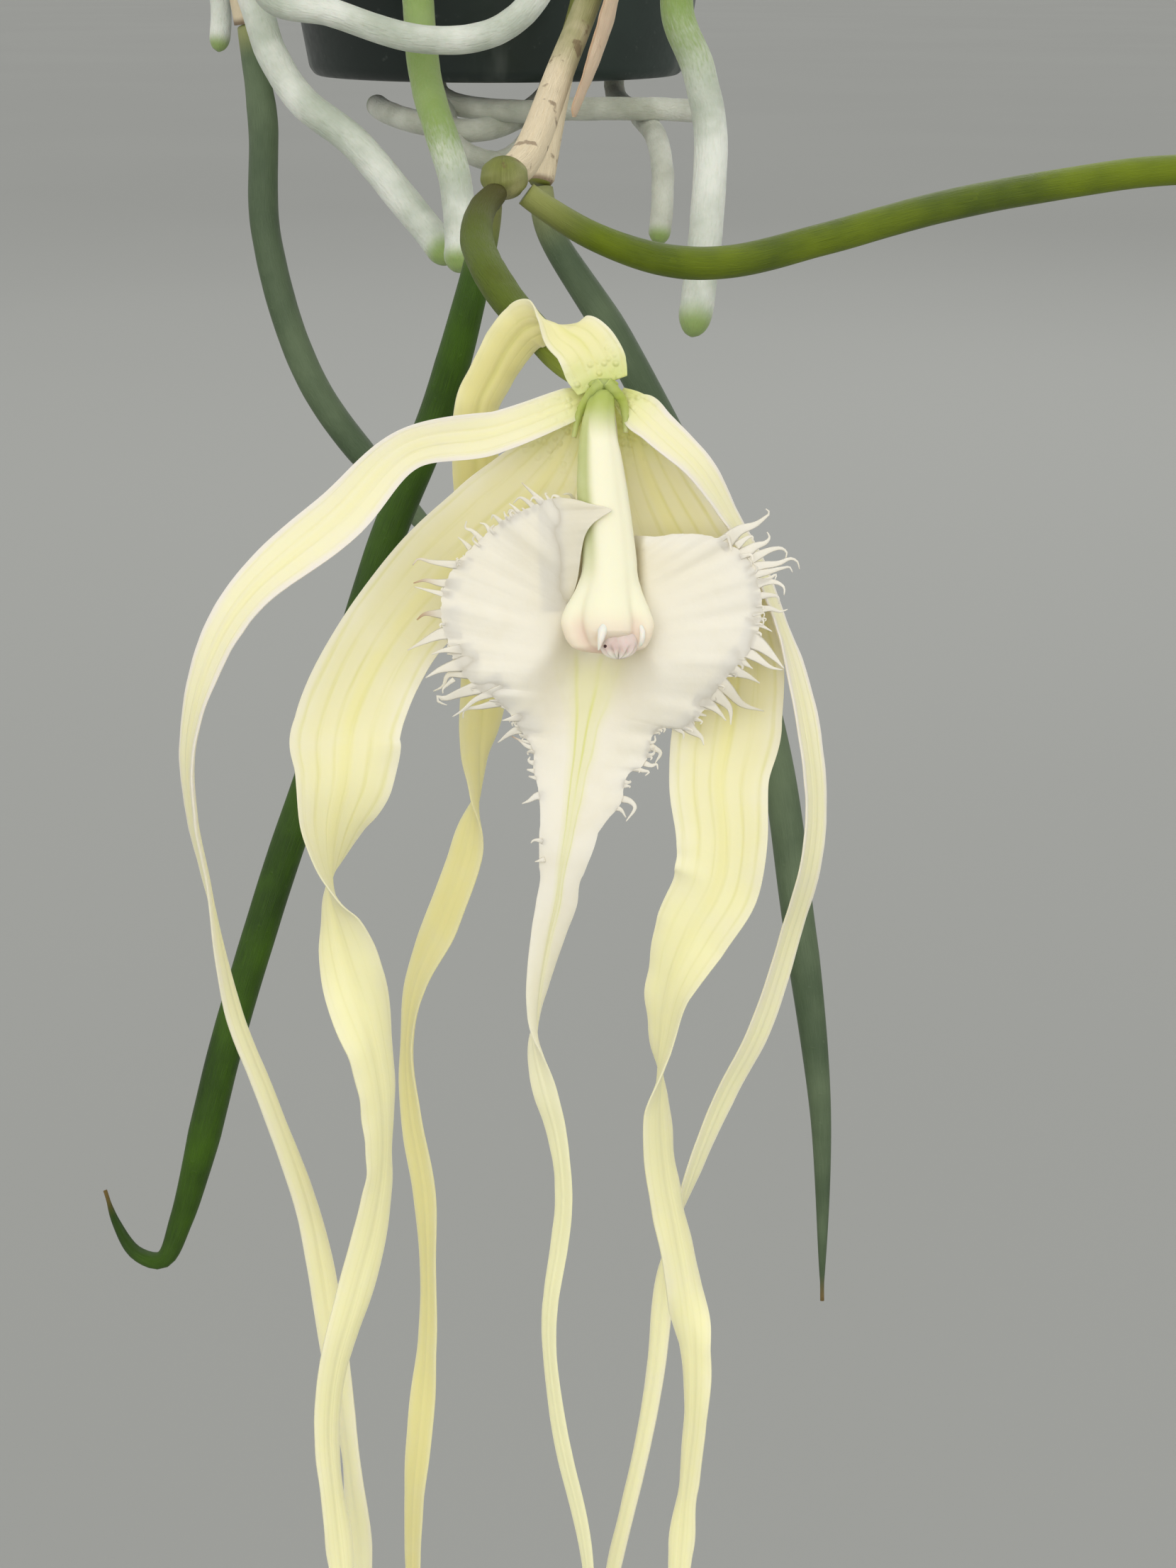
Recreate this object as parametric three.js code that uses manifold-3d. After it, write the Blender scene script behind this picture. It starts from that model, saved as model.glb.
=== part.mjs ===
// A potted Brassavola cucullata in flower, hanging from a wire hanger.
//
// Millimetres, +Z up. The origin is the inside of the hook's crown, where a rail or a nail bears.
// The viewer looks along +Y, a little downwards, so the flower hangs in front of the pot, at -Y.
// The flower is laid out in a tilted group of its own: x right, y away from the viewer, z up in view,
// with the flower's heart at its origin.

import * as THREE from "three";
import { mergeVertices } from "three/addons/utils/BufferGeometryUtils.js";
import Module from "manifold-3d";

const wasm = await Module();
wasm.setup();

// Gaps and blades
const GAP = 0.3; // between two pieces that touch
const BLADE = 0.8; // a petal along its midline
const BLADE_EDGE = 0.62; // a petal at its margin
const VIEW_TILT = 20; // degrees that the flower's own frame leans to face the viewer

// Pot
const RIM_TOP = -110;
const POT_HEIGHT = 68;
const POT_BASE_RADIUS = 24;
const POT_TOP_RADIUS = 35;
const POT_WALL = 1.4;
const POT_FLOOR = 1.8;
const RIM_RADIUS = 37;
const RIM_DEPTH = 6;
const RIM_LIP = 1.6;
const DRAIN_COUNT = 6;
const DRAIN_RADIUS = 3;
const DRAIN_CIRCLE = 15;
const POT_BASE = RIM_TOP - POT_HEIGHT;

// Bark in the pot
const BARK_TOP = RIM_TOP - 9;
const BARK_CROWN = 3;
const CHIP_COUNT = 16;
const CHIP = [12, 8, 4];
const SUNK = BARK_TOP - 7; // how deep stems and roots stand in the bark
const HOLE_DEPTH = 17; // along the stem, up past the highest chip

// Hanger
const WIRE = 0.9; // radius
const HOOK_WIRE = 1.05; // radius
const WIRE_COUNT = 3;
const NECK_Z = -24;
const HOOK_RADIUS = 9; // to the wire's centre

// Stems
const STEM_RADIUS = 1.2;
const JOINT = 26; // length that one sheath covers
const FLOWER_JOINTS = 6;
const LEAF_SEAT = 0.78; // between a stem's last joint and the foot of its leaf, at the middle

// Flower
const HEART = new THREE.Vector3(12.8, -131.1, -195.4);
const KNOB = { at: new THREE.Vector3(0.1, 2, 0), radius: 1.25 };
const NODE = { at: new THREE.Vector3(4.3, -100.7, -182.2), size: [2.1, 1.9, 1.9] };
const TEETH = 50;
const ANTHER = { at: new THREE.Vector3(0.7, -3.7, -20.6), size: [1.25, 1.0, 1.05] };

const LOOK = {
  petal: { color: 0xf3efc4, roughness: 0.55, metalness: 0 },
  sepal: { color: 0xeeeaa8, roughness: 0.55, metalness: 0 },
  lip: { color: 0xf0ebe4, roughness: 0.6, metalness: 0 },
  column: { color: 0xf1ecd0, roughness: 0.45, metalness: 0 },
  anther: { color: 0xe8cfc6, roughness: 0.5, metalness: 0 },
  pedicel: { color: 0x7e8a2c, roughness: 0.5, metalness: 0 },
  stem: { color: 0x6f7f35, roughness: 0.6, metalness: 0 },
  sheath: { color: 0xdcc3a4, roughness: 0.8, metalness: 0 },
  leaf: { color: 0x4c6b22, roughness: 0.45, metalness: 0 },
  oliveLeaf: { color: 0x6d8a10, roughness: 0.4, metalness: 0 },
  greyLeaf: { color: 0x5d7363, roughness: 0.5, metalness: 0 },
  root: { color: 0xdfe3da, roughness: 0.75, metalness: 0 },
  greenRoot: { color: 0xa9bf6a, roughness: 0.7, metalness: 0 },
  pot: { color: 0x14201d, roughness: 0.4, metalness: 0 },
  bark: { color: 0x5a3b26, roughness: 0.95, metalness: 0 },
  wire: { color: 0xb4b7b8, roughness: 0.35, metalness: 0.9 },
};

const part = new THREE.Group();
const flower = new THREE.Group();
flower.position.copy(HEART);
flower.rotation.x = THREE.MathUtils.degToRad(-VIEW_TILT);
part.add(flower);
part.updateMatrixWorld(true);

// A seeded stream of numbers from 0 to 1, so that every build is the same.
function randomStream(seed) {
  let state = seed;
  return () => {
    state = (state * 1664525 + 1013904223) % 4294967296;
    return state / 4294967296;
  };
}

function add(name, geometry, look, parent = part) {
  const mesh = new THREE.Mesh(geometry, new THREE.MeshStandardMaterial(look));
  mesh.name = name;
  parent.add(mesh);
  return mesh;
}

// A closed geometry as a solid that can be joined and cut.
function solidOf(geometry) {
  const bare = new THREE.BufferGeometry();
  const source = geometry.index ? geometry.toNonIndexed() : geometry;
  bare.setAttribute("position", source.getAttribute("position").clone());
  const merged = mergeVertices(bare, 1e-4);
  return new wasm.Manifold(
    new wasm.Mesh({
      numProp: 3,
      vertProperties: new Float32Array(merged.attributes.position.array),
      triVerts: new Uint32Array(merged.index.array),
    }),
  );
}

function geometryOf(solid) {
  const mesh = solid.getMesh();
  const geometry = new THREE.BufferGeometry();
  geometry.setAttribute("position", new THREE.BufferAttribute(mesh.vertProperties, 3));
  geometry.setIndex(new THREE.BufferAttribute(mesh.triVerts, 1));
  return geometry;
}

const joined = (geometries) =>
  geometries.map(solidOf).reduce((whole, next) => whole.add(next));

// The main body of a solid: a pocket that joining sealed is filled, and a loose scrap is dropped.
const mainBody = (solid) =>
  solid.decompose().reduce((best, next) => (next.volume() > best.volume() ? next : best));

const ball = ({ at, radius, size = [radius, radius, radius] }, grow = 0, detail = 14) =>
  new THREE.SphereGeometry(1, detail, detail - 4)
    .scale(size[0] + grow, size[1] + grow, size[2] + grow)
    .translate(at.x, at.y, at.z);

// Closes a row of rings of equal count into one skin. Past the half-way point of a ring the quads are
// split the other way, so that the two faces of a thin blade carry the same triangles.
function loft(rings, blade = false) {
  const count = rings[0].length;
  const positions = rings.flat().flatMap((p) => [p.x, p.y, p.z]);
  const index = [];
  for (let r = 0; r + 1 < rings.length; r += 1) {
    for (let k = 0; k < count; k += 1) {
      const a = r * count + k;
      const b = r * count + ((k + 1) % count);
      const c = a + count;
      const d = b + count;
      if (blade && k >= count / 2) index.push(a, b, c, b, d, c);
      else index.push(a, b, d, a, d, c);
    }
  }
  const last = (rings.length - 1) * count;
  if (blade) {
    for (let k = 0; k + 1 < count / 2; k += 1) {
      const [a, b, c, d] = [k, k + 1, count - 1 - k, count - 2 - k];
      index.push(a, d, b, a, c, d);
      index.push(last + a, last + b, last + d, last + a, last + d, last + c);
    }
  } else {
    for (const [ring, start, flip] of [[rings[0], 0, true], [rings.at(-1), last, false]]) {
      const middle = ring
        .reduce((sum, p) => sum.add(p), new THREE.Vector3())
        .divideScalar(count);
      const centre = positions.length / 3;
      positions.push(middle.x, middle.y, middle.z);
      for (let k = 0; k < count; k += 1) {
        const next = (k + 1) % count;
        if (flip) index.push(start + next, start + k, centre);
        else index.push(start + k, start + next, centre);
      }
    }
  }
  const geometry = new THREE.BufferGeometry();
  geometry.setAttribute("position", new THREE.Float32BufferAttribute(positions, 3));
  geometry.setIndex(index);
  return solidOf(geometry).volume() < 0 ? turned(geometry) : geometry;
}

function turned(geometry) {
  const index = geometry.index.array;
  for (let i = 0; i < index.length; i += 3) [index[i + 1], index[i + 2]] = [index[i + 2], index[i + 1]];
  return geometry;
}

const vectors = (points) => points.map((p) => new THREE.Vector3(p[0], p[1], p[2]));
const curveOf = (points) => new THREE.CatmullRomCurve3(vectors(points), false, "centripetal");

const evenShares = (steps) => Array.from({ length: steps + 1 }, (_, r) => r / steps);

// A round or grooved stalk along a curve. radius(s) is the radius at the share s of its length, and
// groove is how deep the upper side is pressed in, as a share of the radius.
function stalk(points, radius, options = {}) {
  const { sides = 8, steps = 20, groove = 0, from = 0, to = 1, shares = evenShares(steps) } = options;
  const { byLength = true } = options; // or else rings gather where the points do
  const curve = curveOf(points);
  const rings = [];
  let side = null;
  for (const share of shares) {
    const s = Math.min(1, from + (to - from) * share);
    const at = byLength ? curve.getPointAt(s) : curve.getPoint(s);
    const along = byLength ? curve.getTangentAt(s) : curve.getTangent(s);
    side ??= new THREE.Vector3(1, 0.2, 0.1);
    side = side.clone().addScaledVector(along, -side.dot(along)).normalize();
    const up = new THREE.Vector3().crossVectors(side, along).normalize();
    const ring = [];
    for (let k = 0; k < sides; k += 1) {
      const angle = (2 * Math.PI * k) / sides;
      const press = 1 - groove * Math.max(0, Math.cos(angle)) ** 6;
      const reach = radius(share) * press;
      ring.push(
        at.clone()
          .addScaledVector(up, reach * Math.cos(angle))
          .addScaledVector(side, reach * Math.sin(angle)),
      );
    }
    rings.push(ring);
  }
  return loft(rings);
}

// A twisted, cupped ribbon. A station holds x, y, z of the midline, the width, and the turn in degrees
// of the blade about its midline, 0 where it lies flat to the viewer.
function ribbon(stations, { steps = 40, across = 4, cup = 0.1, wave = 0, waves = 6 } = {}) {
  const middle = curveOf(stations);
  const shape = new THREE.CatmullRomCurve3(stations.map((q) => new THREE.Vector3(q[3], q[4], 0)));
  const toViewer = new THREE.Vector3(0, -1, 0);
  const rings = [];
  for (let r = 0; r <= steps; r += 1) {
    const s = r / steps;
    const at = middle.getPoint(s);
    const along = middle.getTangent(s);
    const flat = new THREE.Vector3().crossVectors(along, toViewer).normalize();
    const front = new THREE.Vector3().crossVectors(flat, along).normalize();
    const { x: width, y: degrees } = shape.getPoint(s);
    const turn = THREE.MathUtils.degToRad(degrees);
    const side = flat.clone().multiplyScalar(Math.cos(turn)).addScaledVector(front, Math.sin(turn));
    const face = new THREE.Vector3().crossVectors(side, along).normalize();
    const row = [];
    for (let k = 0; k <= across; k += 1) {
      const u = (2 * k) / across - 1;
      const ripple = wave * u * Math.sin(2 * Math.PI * waves * s + (u > 0 ? 1.3 : 0));
      const lift = cup * width * (u * u - 0.4) + ripple * width * 0.1;
      const half = (BLADE + (BLADE_EDGE - BLADE) * u * u) / 2;
      const place = at.clone().addScaledVector(side, (u * width) / 2).addScaledVector(face, lift);
      row.push([place.clone().addScaledVector(face, half), place.addScaledVector(face, -half)]);
    }
    rings.push([...row.map((q) => q[0]), ...row.map((q) => q[1]).reverse()]);
  }
  return loft(rings, true);
}

// Petals and sepals, in the flower's frame: x, y, z, width, turn
const PETAL_LEFT = [
  [-0.9, 1.1, -0.5, 1.5, 0], [-2.6, 0.2, -1.3, 2.7, 0], [-8.2, -1, -3.6, 3.2, 0],
  [-14.9, -3, -5.2, 3.2, 12], [-19.8, -5, -10.5, 4.1, 0], [-26.5, -6, -16.5, 3.8, -28],
  [-29.3, -6, -21.1, 3.4, -36], [-31.2, -5, -27.7, 3, -58], [-31.3, -3, -33.1, 2.8, -68],
  [-30.8, 0, -38.1, 2.6, -74], [-29.5, 6, -49, 2.4, -112], [-27.2, 10, -56.9, 2.4, -116],
  [-24.8, 15, -66.2, 2.4, -130], [-23.9, 16.5, -71.2, 2.4, -150], [-23.3, 18, -76.2, 2.4, -165],
  [-22.6, 20, -83.3, 2.4, -205], [-21.9, 22, -90, 2.4, -225], [-21.5, 26, -99.8, 2.3, -190],
  [-21.7, 30, -110, 0.9, -180],
];
const PETAL_RIGHT = [
  [1.3, 1.1, -0.4, 1.5, 0], [2.5, 0.4, -1.4, 2.5, 0], [4.4, 0.2, -3.2, 3.1, 20], [7.5, 0.5, -6.2, 3.2, 40],
  [10, 1.7, -9.9, 3.3, 60], [12.2, 2.9, -13.6, 3.3, 66], [13.9, 3, -17.8, 3.2, 68],
  [15.2, 2.6, -22, 3.2, 58], [16.3, 2.2, -27.6, 3, 50], [16.8, 3, -32.7, 2.8, 50],
  [16.4, 4, -37.4, 2.8, 50], [15.1, 7, -43, 2.7, 48], [12.8, 10, -51.1, 2.6, 43],
  [10.1, 13, -57, 2.5, 44], [7.6, 16, -64, 2.3, 56], [5.9, 19, -70.7, 2.2, 100],
  [5.3, 21, -76, 2, 148], [4.8, 23, -82.1, 1.9, 142], [3.8, 25.5, -89, 1.8, 136],
  [2.4, 28.5, -96.3, 1.7, 135], [1.2, 31, -102.3, 1.5, 145], [0, 34.5, -111, 0.8, 150],
];
const SEPAL_DORSAL = [
  [0.2, -0.6, 0.4, 4.2, 0], [0, -0.45, 1.4, 4.9, 0], [-1.8, 0.2, 3.4, 4.9, 0], [-4.7, 0.9, 5.3, 4.4, 44],
  [-7, 3, 5.4, 4.2, 58], [-9, 4.5, 3.7, 4, 60], [-10.7, 6, 1.5, 3.8, 56], [-11.1, 7, -1.8, 3.8, 40],
  [-10.2, 8.5, -5.3, 3.9, 12], [-9.6, 12, -12.7, 3.9, 0], [-9.7, 13.5, -19.7, 3.9, 0],
  [-10, 14.5, -24.4, 3.8, 14], [-10.4, 15.5, -28, 3.7, 50], [-10.6, 16.5, -31.9, 3.6, 88],
  [-11.4, 17.5, -36.4, 3.5, 148], [-13.6, 18.5, -42.6, 3.4, 152], [-15.8, 19.5, -47.8, 3.2, 128],
  [-16.7, 20.5, -53.1, 3, 115], [-16.5, 22, -59.5, 2.8, 132], [-15.5, 24, -66.7, 2.7, 142],
  [-15.3, 26, -73.6, 2.6, 126], [-15.5, 28, -81.3, 2.6, 130], [-16.3, 30, -89, 2.5, 158],
  [-17, 32, -96.1, 2.3, 142], [-17.3, 34, -102.6, 2, 140], [-17.4, 37, -111.5, 0.9, 130],
];
const SEPAL_LEFT = [
  [-1.5, 3, -0.3, 2, 0], [-3, 4.1, -2.6, 2.9, 0], [-5.9, 4.5, -6.1, 5.2, 0],
  [-9, 4.6, -9.8, 7.1, 0], [-13, 4.5, -14, 7.9, 0], [-16.3, 4, -18.3, 7.9, 0],
  [-18.7, 3, -22.6, 8.1, 0], [-20, 2, -26.5, 8.4, 0], [-20.3, 1.5, -30.4, 8, 25],
  [-21.2, 2, -34.3, 7.2, 52], [-21.4, 3, -38.1, 6.4, 88], [-21, 4, -41.1, 5.8, 125],
  [-20.1, 5, -45.7, 5.2, 165], [-18.6, 7, -52, 4.8, 228], [-18, 8.5, -57, 4.4, 238],
  [-18.1, 10, -61.8, 4, 244], [-18.8, 11, -66.7, 3.6, 230], [-20.5, 12.5, -73.3, 3.3, 210],
  [-22.4, 14, -79.7, 3, 225], [-23.1, 15.5, -85.5, 2.7, 230], [-22.8, 17, -91.4, 2.5, 226],
  [-22.3, 19, -98, 2.2, 205], [-22.2, 22.5, -108, 0.9, 200],
];
const SEPAL_RIGHT = [
  [1.9, 3, -0.3, 2, 0], [3.1, 4.1, -2.6, 2.9, 0], [4.6, 4.6, -6.7, 5, 0],
  [6.6, 5, -11.5, 7, 0], [9.1, 5.1, -16.3, 7.9, 0], [10.4, 4.8, -20.9, 8.1, 0],
  [10.1, 4.2, -25.4, 8.4, 0], [9.3, 3.4, -30.4, 8, -13], [9.6, 3.1, -35.4, 7.5, -23],
  [9.1, 3.5, -38.8, 7.2, -21], [7.1, 4.8, -42.8, 6.6, -27], [5.6, 6, -46.9, 6, -55],
  [4.9, 7.5, -51.6, 5.2, -71], [4.6, 9, -57, 4.6, -114], [5.1, 11, -62.9, 4.2, -127],
  [6.1, 12.5, -68.1, 3.8, -135], [7.1, 14, -73.4, 3.4, -152], [7.9, 15.5, -78.4, 3.1, -217],
  [8, 17, -84.6, 2.8, -231], [7.5, 19, -90.8, 2.5, -231], [6.9, 21, -97.6, 2.2, -205],
  [6.6, 24.5, -108, 0.9, -200],
];
const LIP_TAIL = [
  [-1.6, 2.6, -27, 3.2, 0], [-2.1, 2.6, -30.5, 4.2, 0], [-2.6, 2.8, -34.3, 4.6, 0],
  [-3.2, 3.4, -37.6, 3.6, 0], [-3.6, 4.2, -40.3, 3.3, 12], [-4.2, 5, -42.7, 3.1, 28],
  [-5.1, 6.5, -47.2, 2.8, 53], [-5.4, 7.5, -50.1, 2.6, 78], [-5.3, 8.5, -52.6, 2.5, 120],
  [-4.6, 9.5, -55.9, 2.4, 146], [-3.7, 11, -59.4, 2.3, 136], [-3.2, 12, -62.8, 2.2, 130],
  [-3.1, 13, -65.9, 2.1, 132], [-3.5, 14.5, -69.7, 2, 135], [-4.2, 16, -74.2, 1.9, 132],
  [-4.4, 17.5, -78.2, 1.8, 132], [-3.8, 20, -85, 1.8, 136], [-3.1, 21.5, -89.3, 1.8, 141],
  [-1.8, 24, -95.5, 1.6, 144], [-1.1, 26, -100.5, 1.4, 135], [-0.8, 30, -110, 0.8, 130],
];

// Column: x, y, z of its axis, width, thickness
const COLUMN = [
  [0, -0.4, -0.7, 1.7, 1.4], [-0.3, -0.8, -3.2, 2.6, 2.1], [-0.2, -1.1, -5.5, 3.4, 2.6],
  [0, -1.3, -8.1, 3.9, 2.8], [0.4, -1.5, -11.7, 4.1, 3], [0.7, -1.7, -14.9, 4.5, 3.1],
  [0.7, -2, -16.8, 5.6, 3.4], [0.6, -2.2, -18.7, 6.4, 3.5], [0.5, -2.4, -20, 5.6, 3],
  [0.5, -2.5, -21, 3.2, 1.8],
];

// Root line of the lip's fringe, from the left of the column round to its right: x, z
const LIP_OUTLINE = [
  [-1.6, -9.6], [-4.1, -8.5], [-7.2, -9], [-10.5, -11], [-12.6, -13.9], [-12.9, -16.6],
  [-12.7, -19.7], [-11.2, -22.5], [-8.8, -24.8], [-6.8, -26.8], [-5.6, -28.8], [-5.1, -31],
  [-4.9, -33.7], [0.1, -34], [1.2, -32.7], [2.1, -31.2], [2.7, -29.6], [4, -28.2], [4.6, -26.8],
  [6.3, -26.1], [8.6, -24.2], [10.5, -21.6], [11.8, -19.1], [12.3, -16.4], [11.8, -13.8],
  [10, -12.2], [6.6, -11.5], [3, -11.2], [0.8, -10.4],
];
const LIP_CENTRE = [0.3, -19];

const smooth = (low, high, v) => THREE.MathUtils.smoothstep(v, low, high);

// How far the lip's blade lies behind the heart: a channel round the column, and wings that curl back.
function lipDepth(x, z) {
  const middle = THREE.MathUtils.lerp(0.55, -2.2, smooth(14, 32, -z));
  const away = Math.abs(x - middle);
  const hug = THREE.MathUtils.lerp(0.9, 3.8, smooth(-29, -21, z));
  const curl = 0.009 * Math.max(0, away - 4) ** 2;
  return 3.1 - hug * smooth(1, 6, away) + curl;
}

function lipBlade() {
  const draw = randomStream(11);
  const edge = new THREE.CatmullRomCurve3(
    LIP_OUTLINE.map(([x, z]) => new THREE.Vector3(x, 0, z)), true, "centripetal");
  const count = TEETH * 2;
  const root = edge.getSpacedPoints(count).slice(0, count);
  const tips = root.map((p, i) => {
    const before = root[(i + count - 1) % count];
    const after = root[(i + 1) % count];
    const out = new THREE.Vector3(after.z - before.z, 0, before.x - after.x).normalize();
    const byColumn = smooth(2.5, 5, Math.abs(p.x - 0.5)) + smooth(20, 26, -p.z);
    const sideways = smooth(-27, -22, p.z) * smooth(9, 13, -p.z);
    const length = i % 2 ? Math.min(1, byColumn) * (0.55 + 1.3 * sideways + 0.5 * draw()) : 0;
    return p.clone().addScaledVector(out, length).add(new THREE.Vector3(0, 0, -0.25 * length));
  });
  const shares = [0.42, 0.76, 1];
  const rings = shares.map((share) =>
    root.map((p) => [
      THREE.MathUtils.lerp(LIP_CENTRE[0], p.x, share),
      THREE.MathUtils.lerp(LIP_CENTRE[1], p.z, share),
    ]),
  );
  rings.push(tips.map((p) => [p.x, p.z]));
  const layers = [BLADE / 2, -BLADE / 2];
  const positions = [];
  const index = [];
  layers.forEach((offset, layer) => {
    const start = positions.length / 3;
    positions.push(LIP_CENTRE[0], lipDepth(...LIP_CENTRE) + offset, LIP_CENTRE[1]);
    for (const ring of rings) {
      ring.forEach(([x, z], i) => {
        const ruffle = 0.3 * Math.sin(i * 0.55) * smooth(5, 11, Math.abs(x));
        positions.push(x, lipDepth(x, z) + ruffle + offset, z);
      });
    }
    for (let i = 0; i < count; i += 1) {
      const next = (i + 1) % count;
      const faces = [[start, start + 1 + i, start + 1 + next]];
      for (let r = 0; r + 1 < rings.length; r += 1) {
        const [a, b] = [start + 1 + r * count + i, start + 1 + r * count + next];
        const [c, d] = [a + count, b + count];
        if (i % 2) faces.push([a, c, d], [a, d, b]);
        else faces.push([a, c, b], [b, c, d]);
      }
      for (const face of faces) index.push(...(layer ? face.toReversed() : face));
    }
  });
  const skin = positions.length / 6;
  const rim = 1 + (rings.length - 1) * count;
  for (let i = 0; i < count; i += 1) {
    const [a, b] = [rim + i, rim + ((i + 1) % count)];
    index.push(b, a, a + skin, b, a + skin, b + skin);
  }
  const geometry = new THREE.BufferGeometry();
  geometry.setAttribute("position", new THREE.Float32BufferAttribute(positions, 3));
  geometry.setIndex(index);
  return solidOf(geometry).volume() < 0 ? turned(geometry) : geometry;
}

function buildFlower() {
  const clearKnob = solidOf(ball(KNOB, GAP, 12));
  const trimmed = (geometry) => geometryOf(solidOf(geometry).subtract(clearKnob));
  add("sepal_dorsal", trimmed(ribbon(SEPAL_DORSAL, { steps: 38, across: 3, cup: 0.08 })), LOOK.sepal, flower);
  add("sepal_left", trimmed(ribbon(SEPAL_LEFT, { steps: 33, cup: 0.07 })), LOOK.sepal, flower);
  add("sepal_right", trimmed(ribbon(SEPAL_RIGHT, { steps: 33, cup: 0.07 })), LOOK.sepal, flower);
  add("petal_left", trimmed(ribbon(PETAL_LEFT, { steps: 34, across: 2 })), LOOK.petal, flower);
  add("petal_right", trimmed(ribbon(PETAL_RIGHT, { steps: 34, across: 2 })), LOOK.petal, flower);
  const claw = ribbon(
    [[0.2, 1.9, -1.4, 1.6, 0], [0.2, 2, -3, 2, 0], [0.2, 2.6, -7, 2.6, 0], [0.4, 3.1, -12, 3.2, 0]],
    { steps: 5, across: 2, cup: -0.04 });
  const lip = joined([lipBlade(), ribbon(LIP_TAIL, { steps: 32, across: 2, cup: 0.05 }), claw]);
  add("lip", geometryOf(mainBody(lip.subtract(clearKnob))), LOOK.lip, flower);
  const socket = solidOf(ball(ANTHER, GAP, 10));
  const column = solidOf(columnBody()).subtract(clearKnob).subtract(socket);
  add("column", geometryOf(column), LOOK.column, flower);
  add("anther_cap", ball(ANTHER, 0, 10), LOOK.anther, flower);
}

function columnBody() {
  const axis = curveOf(COLUMN);
  const size = new THREE.CatmullRomCurve3(COLUMN.map((q) => new THREE.Vector3(q[3], q[4], 0)));
  const rings = [];
  const steps = 14;
  const sides = 12;
  for (let r = 0; r <= steps; r += 1) {
    const at = axis.getPoint(r / steps);
    const { x: width, y: thick } = size.getPoint(r / steps);
    const ring = [];
    for (let k = 0; k < sides; k += 1) {
      const angle = (2 * Math.PI * k) / sides;
      ring.push(at.clone().add(
        new THREE.Vector3((width / 2) * Math.cos(angle), (thick / 2) * Math.sin(angle), 0)));
    }
    rings.push(ring);
  }
  return loft(rings);
}

// The stalk of the flower, from the stem's top knot to the knob behind the flower's heart
const PEDICEL = [
  [-8.6, 24, 22], [-10.2, 19.5, 18.8], [-10.5, 15, 15.1], [-9.3, 11, 11.5], [-7.3, 8, 8.1],
  [-5.1, 5.8, 5.3], [-2.9, 3.8, 2.6], [0, 1.8, 0.4],
];

function buildPedicel() {
  const node = { at: flower.worldToLocal(NODE.at.clone()), size: NODE.size };
  const swell = (s) => 1.05 + 0.4 * Math.sin(Math.PI * Math.min(1, s * 1.1));
  const body = joined([stalk(PEDICEL, swell, { sides: 8, steps: 14 }), ball(KNOB, 0, 12)]);
  add("pedicel", geometryOf(body.subtract(solidOf(ball(node, GAP)))), LOOK.pedicel, flower);
}

// A stem wrapped in papery sheaths, each widening towards its mouth, where the next one steps out of it
const FLARE = 1.28;
const MOUTH = 0.985;
const sheathed = (base, joints) => (s) => base * (1 + (FLARE - 1) * ((s * joints) % 1));
const jointShares = (joints) =>
  Array.from({ length: joints }, (_, j) => [j, j + 0.4, j + 0.75, j + MOUTH].map((v) => v / joints))
    .flat()
    .concat(1);

// What stands in the bark leaves a hole a gap wider than it is.
const standing = [];
function leaveHole(route, radius) {
  const [foot, ...rest] = route;
  const deeper = [[foot[0], foot[1], foot[2] - 1.5 * GAP], ...rest];
  const to = HOLE_DEPTH / curveOf(deeper).getLength();
  standing.push(stalk(deeper, () => radius + 2.4 * GAP, { sides: 6, steps: 3, to }));
}

// A terete leaf: narrow foot, even body, tapering point
const terete = (radius, point = 0.3) => (s) =>
  radius * Math.min(0.72 + 2.2 * s, 1, Math.max(0.14, (1 - s) / point) ** 0.7);

const rootBody = (radius) => (s) => radius * (s > 0.93 ? Math.sqrt(Math.max(0.12, (1 - s) / 0.07)) : 1);

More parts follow.
